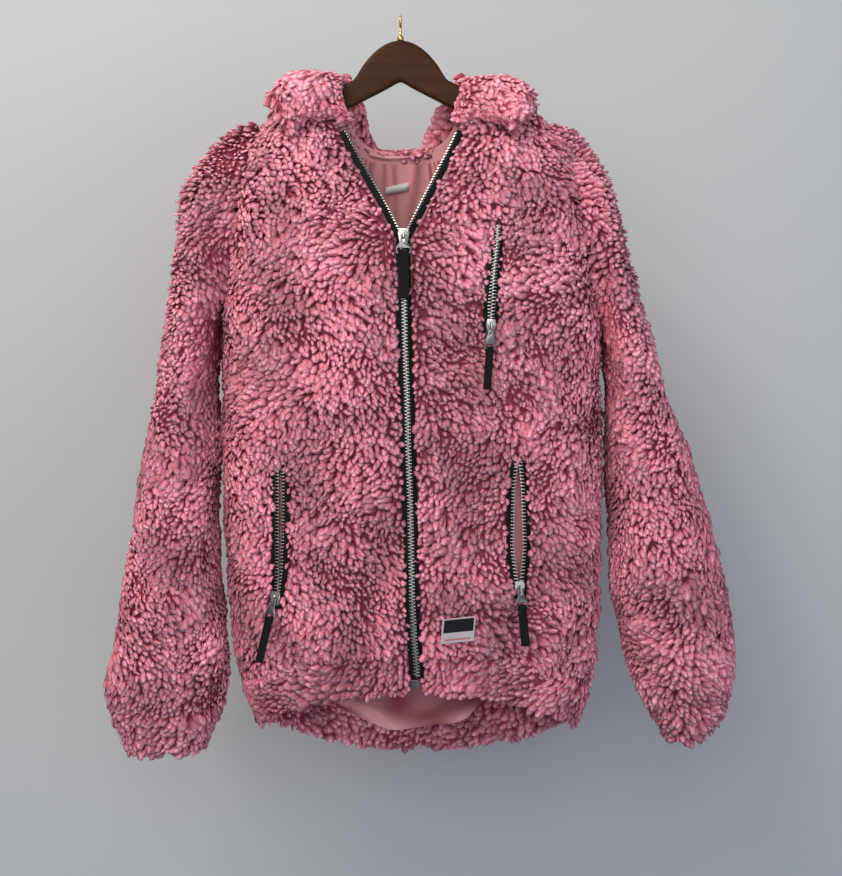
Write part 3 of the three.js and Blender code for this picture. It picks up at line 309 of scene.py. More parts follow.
def new_object(name, points, faces, material, slot, replaced=(), **values):
    """A smooth mesh. points: millimetres. faces: arrays of 3 or 4 corners. values: one a point."""
    mesh = bpy.data.meshes.new(name)
    points = np.asarray(points, float).reshape(-1, 3)
    faces = [np.asarray(f, int) for f in faces if len(f)]
    corners = np.concatenate([f.ravel() for f in faces])
    sizes = np.concatenate([np.full(len(f), f.shape[1]) for f in faces])
    mesh.vertices.add(len(points))
    mesh.vertices.foreach_set("co", (points / 1000).ravel())
    mesh.loops.add(len(corners))
    mesh.loops.foreach_set("vertex_index", corners)
    mesh.polygons.add(len(sizes))
    mesh.polygons.foreach_set("loop_start", np.concatenate([[0], np.cumsum(sizes)[:-1]]))
    for label, value in values.items():
        value = np.asarray(value, np.float32)
        kind = "FLOAT" if value.ndim == 1 else "FLOAT_VECTOR"
        data = mesh.attributes.new(label, kind, "POINT").data
        data.foreach_set("value" if value.ndim == 1 else "vector", value.ravel())
    mesh.update(calc_edges=True)
    mesh.shade_smooth()
    mesh.materials.append(material)
    made = bpy.data.objects.new(name, mesh)
    bpy.context.scene.collection.objects.link(made)
    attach(made, "jacket")
    if replaced:
        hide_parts(*replaced)
    return made


def grid_faces(rows, cols, ring=False):
    """Quads between the points of a grid, one row after another. ring: each row closes on itself."""
    r, c = np.meshgrid(np.arange(rows - 1), np.arange(cols if ring else cols - 1), indexing="ij")
    after = (c + 1) % cols
    quads = np.stack([r * cols + c, r * cols + after, (r + 1) * cols + after, (r + 1) * cols + c], -1)
    return quads.reshape(-1, 4)


def repeated(points, *faces):
    """The faces of one piece made for each of many. points: one row a piece."""
    first = np.arange(len(points))[:, None, None] * points.shape[1]
    return [(first + piece).reshape(-1, piece.shape[1]) for piece in faces]


def node(tree, kind, inputs=None, **settings):
    """A node with its settings, and its inputs linked to sockets or set to values."""
    made = tree.nodes.new(kind)
    for key, value in settings.items():
        setattr(made, key, value)
    for key, value in (inputs or {}).items():
        if isinstance(value, bpy.types.NodeSocket):
            tree.links.new(value, made.inputs[key])
        else:
            made.inputs[key].default_value = value
    return made


def maths(tree, operation, *values):
    return node(tree, "ShaderNodeMath", dict(enumerate(values)), operation=operation).outputs[0]


def mixed(tree, share, a, b, blend="MIX"):
    """A colour between a and b."""
    inputs = {0: share, 6: a, 7: b}
    return node(tree, "ShaderNodeMix", inputs, data_type="RGBA", blend_type=blend).outputs[2]


def between(tree, value, low, high, to_low=0.0, to_high=1.0):
    """A value eased from one range to another."""
    inputs = {"Value": value, 1: low, 2: high, 3: to_low, 4: to_high}
    return node(tree, "ShaderNodeMapRange", inputs, interpolation_type="SMOOTHSTEP").outputs[0]


def noise(tree, place, scale, detail):
    inputs = {"Vector": place, "Scale": scale, "Detail": detail}
    return node(tree, "ShaderNodeTexNoise", inputs).outputs["Fac"]


def bump(tree, strength, distance, height):
    inputs = {"Strength": strength, "Distance": distance, "Height": height}
    return node(tree, "ShaderNodeBump", inputs).outputs[0]


def object_place(tree):
    return node(tree, "ShaderNodeTexCoord").outputs["Object"]


def attribute(tree, name, output="Fac"):
    return node(tree, "ShaderNodeAttribute", attribute_name=name).outputs[output]


def new_group(name, takes, gives):
    """A group of shader nodes with named inputs and outputs."""
    tree = bpy.data.node_groups.new(name, "ShaderNodeTree")
    for label, kind, value in takes:
        socket = tree.interface.new_socket(label, in_out="INPUT", socket_type="NodeSocket" + kind)
        socket.default_value = value
    for label, kind in gives:
        tree.interface.new_socket(label, in_out="OUTPUT", socket_type="NodeSocket" + kind)
    return tree, tree.nodes.new("NodeGroupInput").outputs, tree.nodes.new("NodeGroupOutput")


def use_group(tree, group, inputs):
    return node(tree, "ShaderNodeGroup", inputs, node_tree=group).outputs


def finish(tree, shader, colour, normal=None):
    """Gives a material its colour and its relief."""
    tree.links.new(colour, shader.inputs["Base Color"])
    if normal:
        tree.links.new(normal, shader.inputs["Normal"])


def new_material(name, settings):
    """A material with a Principled BSDF, its tree and that shader."""
    material = bpy.data.materials.new(name)
    material.use_nodes = True
    tree = material.node_tree
    shader = next(n for n in tree.nodes if n.type == "BSDF_PRINCIPLED")
    for key, value in settings.items():
        shader.inputs[key].default_value = value
    return material, tree, shader


def drift(points, size, seed):
    """Soft noise, about -1 to 1, that changes over the given number of millimetres."""
    waves = np.random.default_rng(seed)
    toward = unit(waves.normal(size=(7, 3))) * waves.uniform(0.6, 1.5, (7, 1)) * 2 * np.pi / size / 2
    phase = waves.uniform(0, 2 * np.pi, 7)
    return np.sin(points @ toward.T + phase).sum(-1) / 2.2


print("helpers ready")

# %% [markdown]
# The finishes. Pile, satin, woven tape and patch, lacquered walnut, and metals, all procedural.

# %% Shared shader groups
# A lock's colour runs from its darkest input, painted shade at the root, through the middle pink to the
# light pink of its tip. The per-lock input then scales it.
fibre_group, fibre_in, fibre_out = new_group(
    "Fibre colour",
    [
        ("Root to tip shading", "Float", 0.5), ("Tone and shading", "Float", 0.5), ("Strand", "Vector", (0, 0, 0)),
        ("Root shade", "Color", (0.38, 0.07, 0.11, 1)), ("Middle", "Color", (0.64, 0.19, 0.25, 1)),
        ("Light", "Color", (0.97, 0.48, 0.56, 1)), ("Bump", "Float", 0.6),
    ],
    [("Color", "Color"), ("Normal", "Vector")],
)
streaks = node(
    fibre_group, "ShaderNodeTexNoise",
    {"Vector": fibre_in["Strand"], "Scale": 2.6, "Detail": 3.0, "Roughness": 0.6},
).outputs["Fac"]
speckle = between(fibre_group, streaks, 0.3, 0.7, -0.22, 0.22)
lit = maths(fibre_group, "ADD", fibre_in["Root to tip shading"], speckle)
root_to_middle = between(fibre_group, lit, 0.05, 0.5)
middle_to_tip = between(fibre_group, lit, 0.45, 1.05)
fibre = mixed(fibre_group, root_to_middle, fibre_in["Root shade"], fibre_in["Middle"])
fibre = mixed(fibre_group, middle_to_tip, fibre, fibre_in["Light"])
brighter = between(fibre_group, fibre_in["Tone and shading"], 0.0, 1.0, 0.62, 1.32)
tone = node(fibre_group, "ShaderNodeCombineXYZ", {0: brighter, 1: brighter, 2: brighter}).outputs[0]
fibre = mixed(fibre_group, 1.0, fibre, tone, "MULTIPLY")
fibre_group.links.new(fibre, fibre_out.inputs["Color"])
fibre_group.links.new(bump(fibre_group, fibre_in["Bump"], 0.0012, streaks), fibre_out.inputs["Normal"])

weave_group, weave_in, weave_out = new_group(
    "Weave",
    [
        ("Place", "Vector", (0, 0, 0)), ("Threads", "Float", 1500.0), ("Slant", "Float", 1.0),
        ("Bump", "Float", 0.5), ("Depth", "Float", 0.0003),
    ],
    [("Height", "Float"), ("Normal", "Vector")],
)
place_parts = node(weave_group, "ShaderNodeSeparateXYZ", {0: weave_in["Place"]}).outputs
across = maths(weave_group, "MULTIPLY", place_parts[0], weave_in["Threads"])
along = maths(weave_group, "MULTIPLY", place_parts[1], weave_in["Threads"])
slanted = maths(weave_group, "MULTIPLY", along, weave_in["Slant"])
warp = maths(weave_group, "SINE", maths(weave_group, "ADD", across, slanted))
weft = maths(weave_group, "SINE", maths(weave_group, "SUBTRACT", along, slanted))
threads = maths(weave_group, "MULTIPLY_ADD", maths(weave_group, "MULTIPLY", warp, weft), 0.5, 0.5)
relief = bump(weave_group, weave_in["Bump"], weave_in["Depth"], threads)
weave_group.links.new(threads, weave_out.inputs["Height"])
weave_group.links.new(relief, weave_out.inputs["Normal"])

rub_group, rub_in, rub_out = new_group(
    "Rubbed metal",
    [("Scale", "Float", 900.0), ("Least", "Float", 0.2), ("Most", "Float", 0.45)],
    [("Roughness", "Float")],
)
rubbed = noise(rub_group, object_place(rub_group), rub_in["Scale"], 4.0)
rubbed = between(rub_group, rubbed, 0.35, 0.7, rub_in["Least"], rub_in["Most"])
rub_group.links.new(rubbed, rub_out.inputs["Roughness"])
print("groups:", [g.name for g in bpy.data.node_groups])

# %% Materials of the fleece
FLEECE, pile_tree, pile_shader = new_material(
    "fleece_pile",
    {
        "Roughness": 1.0, "Sheen Weight": 0.14, "Sheen Roughness": 0.6,
        "Sheen Tint": (1.0, 0.68, 0.76, 1), "Specular IOR Level": 0.03,
    },
)
fibres = use_group(
    pile_tree, fibre_group,
    {
        "Root to tip shading": attribute(pile_tree, "tip"), "Tone and shading": attribute(pile_tree, "shade"),
        "Strand": attribute(pile_tree, "strand", "Vector"),
    },
)
finish(pile_tree, pile_shader, fibres["Color"], fibres["Normal"])

BACKING, backing_tree, backing_shader = new_material(
    "fleece_backing", {"Roughness": 1.0, "Specular IOR Level": 0.05}
)
# The backing's dark deep rose is painted shade, as seen in the gaps between the locks. Its knit noise is
# its own texture.
knit = noise(backing_tree, object_place(backing_tree), 260.0, 3.0)
gap_shade_colour = mixed(
    backing_tree, between(backing_tree, knit, 0.3, 0.7), (0.2, 0.03, 0.05, 1), (0.36, 0.07, 0.105, 1)
)
finish(backing_tree, backing_shader, gap_shade_colour, bump(backing_tree, 0.6, 0.001, knit))
print("materials:", len(bpy.data.materials))

# %% [markdown]
# The cloth. Each panel is a backing with a wall of its own, and its pile is many separate locks on it.

# %% Cloth panels and where their edges run


def beside(line, side, away):
    """A line of the front moved sideways by a distance."""
    x, z = line["x"], line["z"]
    dx, dz = np.gradient(x), np.gradient(z)
    length = np.hypot(dx, dz)
    return {"x": x + side * away * dz / length, "z": z - side * away * dx / length}


EDGE_PARTED, EDGE_CLOSED = 8.8, 9.4  # from the line of the zip to the cloth, above and below the slider
SIDE_SEAM = 0.2486  # the turn of a side seam, which leaves a hair's breadth between front and back
BACK_FROM, BACK_TURNS = 0.2514, 0.4972


def front_edge(side, z):
    """Where the cloth of one front ends beside the zip, as x at height z. side: -1 right, 1 left."""
    parted = at_height(beside(NECK_RIGHT if side < 0 else NECK_LEFT, side, EDGE_PARTED), "x", z)
    closed = at_height(ZIP_LINE, "x", z) + side * EDGE_CLOSED
    return np.where(z > SLIDER_Z, parted, closed)


def front_turn(side, row):
    """The turn at which a ring of the body meets the edge of one front."""
    def past(turn):
        p = body_base(row, turn)
        return p[..., 0] - front_edge(side, p[..., 2])

    low, high = (-0.249, 0.06) if side < 0 else (-0.06, 0.249)
    return solve(past, np.zeros(row.shape), low, high)


# Each panel is a surface: it takes u across, v down and the distance out, and gives points.
def front_panel(side):
    def surface(u, v, out=0.0):
        seam = side * SIDE_SEAM
        return body_point(v, seam + (front_turn(side, v) - seam) * u, out)
    return surface


def back_panel(u, v, out=0.0):
    return body_point(v, BACK_FROM + BACK_TURNS * u, out)


def sleeve_panel(side):
    return lambda u, v, out=0.0: sleeve_point(side, v, u, out)


def hood_panel(side):
    def surface(u, v, out=0.0):
        eased = 0.5 * (1 - (1 - u) ** 1.7)
        return hood_point(eased if side < 0 else 1 - eased, v, out)
    return surface


def moved_out(panel, distance):
    """A panel moved out by a distance."""
    return lambda u, v, out=0.0: panel(u, v, out + distance)


def shape_of(surface, us, vs, out=0.0):
    """A grid of points of a surface, one row for each v."""
    v, u = np.meshgrid(vs, us, indexing="ij")
    return surface(u, v, np.full(u.shape, float(out)))


def normals_of(surface, u, v):
    """The way out of the cloth at places on a surface."""
    return unit(surface(u, v, np.full(np.shape(u), 2.0)) - surface(u, v, np.zeros(np.shape(u))))


def tube_test(surface, vs, depth):
    """A test for which points lie inside a tube, a few millimetres below its surface."""
    us = np.linspace(0, 1, 61)[:-1]
    grid = shape_of(surface, us, vs, -depth)
    faces = grid_faces(len(vs), len(us), ring=True)
    tree = BVHTree.FromPolygons([tuple(q) for q in grid.reshape(-1, 3)], faces.tolist())

    def side_of(point):
        place, normal, _, _ = tree.find_nearest(point)
        return (Vector(point) - place).dot(normal)

    sign = side_of(grid[len(vs) // 2].mean(0))

    def test(points):
        flat = points.reshape(-1, 3)
        found = np.array([side_of(q) * sign > 0 for q in flat], bool)
        return found.reshape(points.shape[:-1])
    return test


ROWS = np.linspace(0, SLEEVE_END, 50)
in_sleeves = {side: tube_test(sleeve_panel(side), ROWS, 5) for side in SLEEVES}
in_body = tube_test(lambda u, v, out: body_point(v, u, out), np.linspace(0, NECK, 50), 6)


def in_sleeve(points):
    """Which points of the body lie inside a sleeve."""
    found = np.zeros(points.shape[:-1], bool)
    for side, test in in_sleeves.items():
        near = points[..., 0] < -151 if side == "right" else points[..., 0] > 163
        found[near] |= test(points[near])
    return found


def in_window(points, inset=0.0):
    """Which points of the fronts lie in a pocket's window."""
    found = np.zeros(points.shape[:-1], bool)
    for rows in POCKETS.values():
        z = points[..., 2]
        x0, x1 = at_height(rows, "x0", z) + inset, at_height(rows, "x1", z) - inset
        tall = (z < rows["z"][0] - inset) & (z > rows["z"][-1] + inset)
        found |= tall & (points[..., 0] > x0) & (points[..., 0] < x1) & (points[..., 1] < 0)
    return found


print("front edges at the chest:", [round(float(front_edge(s, np.array(-400.0))), 1) for s in (-1, 1)])

# %% Locks of pile
RNG = np.random.default_rng(11)
LOCK_SIDES = 4
LOCK_RINGS = np.array([0.0, 0.46, 0.82])
LOCK_WIDTHS = np.array([0.72, 1.0, 0.72])
LOCK_FLAT = 0.36
LOCK_LENGTH = (8.5, 13.2)
LOCK_SPREAD = (1.45, 2.1)  # a lock's width over the spacing of the locks
LOCK_BEND, LOCK_CURL, LOCK_ROLL = 1.7, 0.3, 0.42
SWIRLS = ((0.8, 95), (0.3, 38))  # how far the nap turns, and over how many millimetres
NAP_JITTER = 0.32
ZIP_REACH = 9  # how far from a zip's edge the pile leans away from it
ZIP_LEAN = 0.42


def scatter(surface, us, vs, spacing, skip=None):
    """Places (u, v) spread evenly over a surface, with none too close to another."""
    grid = shape_of(surface, us, vs)
    one = grid[1:, 1:] - grid[:-1, :-1]
    two = grid[1:, :-1] - grid[:-1, 1:]
    area = np.linalg.norm(np.cross(one, two), axis=-1) / 2
    count = int(area.sum() / spacing**2 * 4.5)
    cell = RNG.choice(area.size, count, p=(area / area.sum()).ravel())
    r, c = np.unravel_index(cell, area.shape)
    v = vs[r] + (vs[r + 1] - vs[r]) * RNG.random(count)
    u = us[c] + (us[c + 1] - us[c]) * RNG.random(count)
    p = surface(u, v)
    if skip is not None:
        left = ~skip(p)
        u, v, p = u[left], v[left], p[left]
    tree = kdtree.KDTree(len(p))
    for i, q in enumerate(p):
        tree.insert(q, i)
    tree.balance()
    free = np.ones(len(p), bool)
    kept = []
    for i in range(len(p)):
        if free[i]:
            kept.append(i)
            for _, j, _ in tree.find_range(p[i], spacing * 0.86):
                free[j] = False
    return u[kept], v[kept], p[kept]


def turned(way, toward, angle):
    """A way turned toward another by an angle."""
    return way * np.cos(angle)[:, None] + toward * np.sin(angle)[:, None]


def along_cloth(way, out):
    """The part of a way that runs along the cloth. out: the way out of the cloth."""
    return unit(way - out * (way * out).sum(-1, keepdims=True))


def locks(roots, out, nap, length, width, height):
    """The points and faces of one lock a root: it rises out of the cloth, then lies along the nap."""
    count = len(roots)
    across = unit(np.cross(out, nap))
    bend = RNG.normal(0, LOCK_BEND, count)
    curl = RNG.uniform(0.0, LOCK_CURL, count)
    rings = []
    for t in [*LOCK_RINGS, 1.0]:
        rise = height * (np.sin(min(1, t * 1.15) * np.pi / 2) - curl * t**3)
        run = length * t**1.25
        side = bend * t * t
        rings.append(roots + out * rise[:, None] + nap * run[:, None] + across * side[:, None])
    points = []
    strand = []
    turns = np.arange(LOCK_SIDES) / LOCK_SIDES * 2 * np.pi
    roll = RNG.normal(0, LOCK_ROLL, count)
    for k, (t, wide) in enumerate(zip(LOCK_RINGS, LOCK_WIDTHS)):
        way = unit(rings[k + 1] - rings[max(k - 1, 0)])
        side = unit(np.cross(out, way))
        top = np.cross(way, side)
        side, top = turned(side, top, roll), turned(top, -side, roll)
        reach = (width * wide / 2)[:, None]
        for a in turns:
            points.append(rings[k] + reach * (side * np.cos(a) + LOCK_FLAT * top * np.sin(a)))
            strand.append(np.tile([np.cos(a) * 1.5, np.sin(a) * 1.5, t * 0.7], (count, 1)))
    points.append(rings[-1])
    strand.append(np.tile([0.0, 0.0, 0.8], (count, 1)))
    points = np.stack(points, 1)
    strand = np.stack(strand, 1) + (RNG.random((count, 1, 3)) * 60)
    walls = grid_faces(len(LOCK_RINGS), LOCK_SIDES, ring=True)
    last = (len(LOCK_RINGS) - 1) * LOCK_SIDES + np.arange(LOCK_SIDES)
    tips = np.stack([last, np.roll(last, -1), np.full(LOCK_SIDES, points.shape[1] - 1)], -1)
    # painted shade: each lock's sides and underside take a colour nearer the root's painted shade
    around = 1 - 0.42 * np.abs(np.cos(turns)) - 0.3 * np.maximum(0, -np.sin(turns))
    tip = np.tile(np.append((LOCK_RINGS[:, None] * 1.1 * around).ravel(), 0.92), count)
    return points, repeated(points, walls, tips), strand.reshape(-1, 3), tip


def nap_of(points, out, seed):
    """The way the pile lies: mostly down, with swirls where it has been brushed and slept on."""
    down = np.array([0, 0, -1.0])
    down = unit(down - out * (down * out).sum(-1, keepdims=True) + 1e-6)
    side = np.cross(out, down)
    swirl = sum(turn * drift(points, size, seed + k) for k, (turn, size) in enumerate(SWIRLS))
    return turned(down, side, swirl + RNG.normal(0, NAP_JITTER, len(points)))


def beside_zips(points):
    """How near each place of the fronts is to a zip, 0 to 1, and the way its pile leans along x."""
    x, z = points[:, 0], points[:, 2]
    near = np.zeros(len(x))
    way = np.zeros(len(x))
    middle = at_height(ZIP_LINE, "x", z)
    edges = [(front_edge(side, z), -side, np.sign(x - middle) == side) for side in (-1, 1)]
    for rows in POCKETS.values():
        tall = (z < rows["z"][0] + 5) & (z > rows["z"][-1] - 5)
        centre = (at_height(rows, "x0", z) + at_height(rows, "x1", z)) / 2
        edges.append((at_height(rows, "x0", z), -0.3, tall & (x < centre)))
        edges.append((at_height(rows, "x1", z), 0.3, tall & (x >= centre)))
    for edge, side, there in edges:
        weight = np.exp(-(((x - edge) / ZIP_REACH) ** 2)) * there * (points[:, 1] < 0)
        way = np.where(weight > near, side, way)
        near = np.maximum(near, weight)
    return near, way


def pile_object(name, points, faces, strand, tip, shades):
    """The locks of one panel as a mesh. shades: one a lock, its tone with painted light and shade added."""
    return new_object(
        name, points, faces, FLEECE, "fleece", strand=strand, tip=tip,
        shade=np.repeat(shades, points.shape[1]),
    )


def grow_pile(name, surface, us, vs, spacing, depth, seed, skip=None, inner=False, big=0.0, painted_light=0.0):
    """The pile of one panel. depth: how far the roots lie below the tips. big: added to each lock's size.
    pale: painted light added to each lock's tone.
    """
    u, v, p = scatter(surface, us, vs, spacing, skip)
    out = normals_of(surface, u, v)
    root = p if inner else p - out * depth
    out = -out if inner else out
    lively = drift(p, 34, seed + 5)
    near, way = beside_zips(p)
    fullness = 1 + 0.2 * lively + big + 0.02 * np.clip(fold_rise(p), -9, 12)
    length = RNG.uniform(*LOCK_LENGTH, len(p)) * fullness * (1 - 0.3 * near)
    width = RNG.uniform(*LOCK_SPREAD, len(p)) * spacing * fullness * (1 - 0.15 * near)
    height = RNG.normal(depth - 2.6, 0.8, len(p)) + 0.9 * lively
    nap = nap_of(p, out, seed)
    nap[:, 0] = nap[:, 0] * (1 - 0.6 * near) + ZIP_LEAN * near * way
    pile = locks(root, out, along_cloth(nap, out), length, width, np.clip(height, 2.5, 9.5))
    # painted shading: fold troughs are darkened as painted shade, and ridges are lightened as painted light
    hollow = fold_rise(p) / 22
    hollow = np.clip(np.where(hollow < 0, hollow * 2.2, hollow), -0.3, 0.25)
    # each lock's tone: random tone and a slow mottle, plus pale (painted light) and the folds' painted
    # shading
    shade = 0.5 + painted_light + 0.16 * RNG.normal(size=len(p)) + 0.17 * drift(p, 48, seed + 9) + hollow
    print(f"{name}: {len(p)} locks")
    return pile_object(name, *pile, np.clip(shade, 0, 1))


def backing(name, surface, us, vs, depth, ring=False, skip=None):
    """The knitted backing of one panel, with a wall of 1.5 mm."""
    points = shape_of(surface, us[:-1] if ring else us, vs, -depth)
    rows, cols = points.shape[:2]
    faces = grid_faces(rows, cols, ring=ring)
    flat_points = points.reshape(-1, 3)
    if skip is not None:
        faces = faces[~skip(flat_points[faces].mean(1))]
    made = new_object(name + "_cloth", flat_points, [faces], BACKING, "fleece", [name])
    wall = made.modifiers.new("wall", "SOLIDIFY")
    wall.thickness = 0.0015
    wall.offset = -1.0


print("locks have", LOCK_SIDES * (2 * len(LOCK_RINGS) - 1), "triangles each")

# %% The fleece of the body, the hem band and the cuffs
DEPTH = 9.0
BAND_DEPTH = 6.5
SPACING = 4.9
BACK_SPACING = 6.4
full = np.linspace(0, 1, 61)
half = np.linspace(0, 1, 33)
body_rows = np.linspace(HEM_TOP, NECK, 60)
band_rows = np.linspace(0, HEM_TOP, 7)
cuff_rows = np.linspace(CUFF_ROW, SLEEVE_END, 9)
sleeve_rows = np.linspace(0.4, CUFF_ROW, 52)


def on_front(points):
    return in_sleeve(points) | in_window(points, 2)


panels = (
    ("right_front", front_panel(-1), half, SPACING, 19, on_front, (0.27, 0.67), 0.115),
    ("left_front", front_panel(1), half, SPACING, 21, on_front, (0.27, 0.67), 0.115),
    ("back", back_panel, full, BACK_SPACING, 31, in_sleeve, (0.54, 0.7), 0.28),
)
for name, panel, us, spacing, seed, skip, flat, area in panels:
    pile = grow_pile(name + "_pile", panel, us, body_rows, spacing, DEPTH, seed, skip)
    backing(
        name, panel, us, body_rows, DEPTH, skip=skip
    )

bands = (
    ("hem_right_front", front_panel(-1), half, band_rows, (0.25, 0.05)),
    ("hem_left_front", front_panel(1), half, band_rows, (0.25, 0.05)),
    ("hem_back", back_panel, full, band_rows, (0.5, 0.05)),
    ("right_cuff", sleeve_panel("right"), full, cuff_rows, (0.25, 0.05)),
    ("left_cuff", sleeve_panel("left"), full, cuff_rows, (0.2, 0.05)),
)
for k, (name, panel, us, vs, flat) in enumerate(bands):
    outer = grow_pile(name + "_pile", panel, us, vs, SPACING, BAND_DEPTH, 50 + k)
    inner = grow_pile(
        name + "_inner_pile", moved_out(panel, -BAND_DEPTH), us, vs, SPACING * 1.15, BAND_DEPTH, 70 + k,
        inner=True,
    )
    backing(
        name, panel, us, vs, BAND_DEPTH, ring="cuff" in name
    )

for side in SLEEVES:
    name, panel = side + "_sleeve", sleeve_panel(side)
    pile = grow_pile(name + "_pile", panel, full, sleeve_rows, SPACING, DEPTH, 90 + len(side), in_body)
    backing(
        name, panel, full, sleeve_rows, DEPTH, ring=True,
        skip=in_body,
    )

# %% The hood, with pile outside and in
downs = np.linspace(0, 1, 25)
HOOD_DEPTH = 6.0
TUFTS = 90  # locks that hang over each front end of the roll
for sign, name in ((-1, "hood_right"), (1, "hood_left")):
    panel = hood_panel(sign)
    # pale lifts the hood's locks as painted light, as if lit from above
    outer = grow_pile(
        name + "_pile", moved_out(panel, HOOD_DEPTH), half, downs, SPACING, HOOD_DEPTH, 110 + sign,
        big=0.16, painted_light=0.4,
    )
    inner = grow_pile(
        name + "_inner_pile", panel, half, downs, SPACING, HOOD_DEPTH, 120 + sign, inner=True,
        big=0.1, painted_light=0.1,
    )
    v = RNG.uniform(0.0, 0.42, TUFTS)
    root = panel(np.zeros(TUFTS), v, RNG.uniform(-2.0, 3.0, TUFTS))
    ahead = unit(root - panel(np.full(TUFTS, 0.05), v) + np.array([0.0, -4.0, -2.0]))
    droop = unit(np.array([0.0, -0.25, -1.0]) + RNG.normal(0, 0.3, (TUFTS, 3)))
    size = RNG.uniform(8.5, 12.0, TUFTS)
    tufts = locks(root, ahead, along_cloth(droop, ahead), size, size * 0.8, size * 0.5)
    ends = pile_object(name + "_end_pile", *tufts, RNG.uniform(0.5, 0.9, TUFTS))
    backing(
        name, panel, half, downs, 0
    )

# %% [markdown]
# Satin, tape, metal, wood and the patch. Woven finishes take the front's x and z as their place.

# %% Materials of the trim


def flat_place(tree):
    """The object's x and z as a flat place, for cloth that faces the front."""
    parts = node(tree, "ShaderNodeSeparateXYZ", {0: object_place(tree)}).outputs
    return node(tree, "ShaderNodeCombineXYZ", {0: parts[0], 1: parts[2]}).outputs[0]


def woven(name, dark, light, threads, settings, relief=0.5, depth=0.0003, fold=None):
    """A woven finish. fold: the painted shade colour, mixed in by the hollow attribute."""
    material, tree, shader = new_material(name, settings)
    weave = use_group(
        tree, weave_group,
        {"Place": flat_place(tree), "Threads": threads, "Bump": relief, "Depth": depth},
    )
    colour = mixed(tree, weave["Height"], dark, light)
    if fold:
        colour = mixed(tree, attribute(tree, "hollow"), colour, fold)
    finish(tree, shader, colour, weave["Normal"])
    return material


# fold: the painted shade colour of the satin's pleat valleys and of its parts in shadow
SATIN = woven(
    "satin", (1.0, 0.38, 0.4, 1), (1.0, 0.5, 0.5, 1), 9000.0,
    {
        "Roughness": 0.36, "Sheen Weight": 0.1, "Sheen Roughness": 0.3, "Anisotropic": 0.5,
        "Specular IOR Level": 0.35,
    },
    relief=0.08, depth=0.0001, fold=(0.42, 0.09, 0.12, 1),
)
TAPE = woven(
    "black_tape", (0.003, 0.003, 0.0035, 1), (0.012, 0.0115, 0.012, 1), 3200.0,
    {"Roughness": 0.8, "Specular IOR Level": 0.15}, relief=0.8, depth=0.0004,
)
WHITE_WEAVE = woven(
    "white_weave", (0.78, 0.75, 0.73, 1), (0.95, 0.92, 0.9, 1), 4200.0,
    {"Roughness": 0.75, "Sheen Weight": 0.1, "Specular IOR Level": 0.25},
)


def metal(name, colour, least, most):
    """A metal whose roughness wanders between two values."""
    material, tree, shader = new_material(name, {"Metallic": 1.0, "Base Color": colour})
    rub = use_group(tree, rub_group, {"Least": least, "Most": most})
    tree.links.new(rub["Roughness"], shader.inputs["Roughness"])
    return material


SILVER = metal("zip_silver", (0.52, 0.49, 0.44, 1), 0.2, 0.38)
GUNMETAL = metal("dark_nickel", (0.2, 0.195, 0.19, 1), 0.22, 0.42)
BRASS = metal("brass", (0.62, 0.45, 0.2, 1), 0.18, 0.36)

WALNUT, wood_tree, wood_shader = new_material(
    "walnut", {"Roughness": 0.5, "Coat Weight": 0.04, "Coat Roughness": 0.3, "Specular IOR Level": 0.12}
)
wood_place = node(
    wood_tree, "ShaderNodeMapping", {"Vector": object_place(wood_tree), "Scale": (9.0, 70.0, 120.0)}
).outputs[0]
wood_warp = noise(wood_tree, wood_place, 0.7, 4.0)
wood_rings = node(
    wood_tree, "ShaderNodeTexWave",
    {"Vector": wood_place, "Scale": 0.9, "Distortion": 5.0, "Detail": 3.0, "Detail Scale": 1.4},
    bands_direction="Z",
).outputs["Fac"]
grain = mixed(wood_tree, wood_rings, (0.034, 0.0098, 0.0012, 1), (0.05, 0.0155, 0.0022, 1))
wood_share = between(wood_tree, wood_warp, 0.35, 0.75, 0.0, 0.6)
grain = mixed(wood_tree, wood_share, grain, (0.07, 0.024, 0.004, 1))
finish(wood_tree, wood_shader, grain)

PATCH, patch_tree, patch_shader = new_material(
    "patch_weave", {"Roughness": 0.75, "Specular IOR Level": 0.25}
)
patch_place = node(
    patch_tree, "ShaderNodeSeparateXYZ", {0: attribute(patch_tree, "place", "Vector")}
).outputs


def box_mask(x0, x1, z0, z1, soft=0.012):
    """1 inside a box on the patch, whose sides run from 0 to 1, with soft edges."""
    sides = []
    for place, low, high in ((patch_place[1], z0, z1), (patch_place[0], x0, x1)):
        rise = between(patch_tree, place, low - soft, low + soft)
        fall = between(patch_tree, place, high - soft, high + soft, 1.0, 0.0)
        sides.append(maths(patch_tree, "MULTIPLY", rise, fall))
    return maths(patch_tree, "MULTIPLY", *sides)


patch_weave = use_group(patch_tree, weave_group, {"Place": flat_place(patch_tree), "Threads": 5200.0})
woven_white = mixed(patch_tree, patch_weave["Height"], (0.42, 0.38, 0.39, 1), (0.56, 0.51, 0.52, 1))
with_block = mixed(
    patch_tree, box_mask(0.05, 0.96, 0.42, 0.95), woven_white, (0.006, 0.006, 0.007, 1)
)
with_line = mixed(patch_tree, box_mask(0.1, 0.9, 0.09, 0.17), with_block, (0.5, 0.17, 0.16, 1))
finish(patch_tree, patch_shader, with_line, patch_weave["Normal"])
print("materials:", len(bpy.data.materials))

# %% [markdown]
# The satin of the back, gathered under the neck and hanging past the front hem, with its facing and loop.

# %% Satin lining, neck facing, loop and label
LINING_FROM, LINING_TO = 0.32, 0.68  # turns
LINING_TOP = 12.62  # row
LINING_HEM = 0.86  # the share of its length at which the satin passes the hem


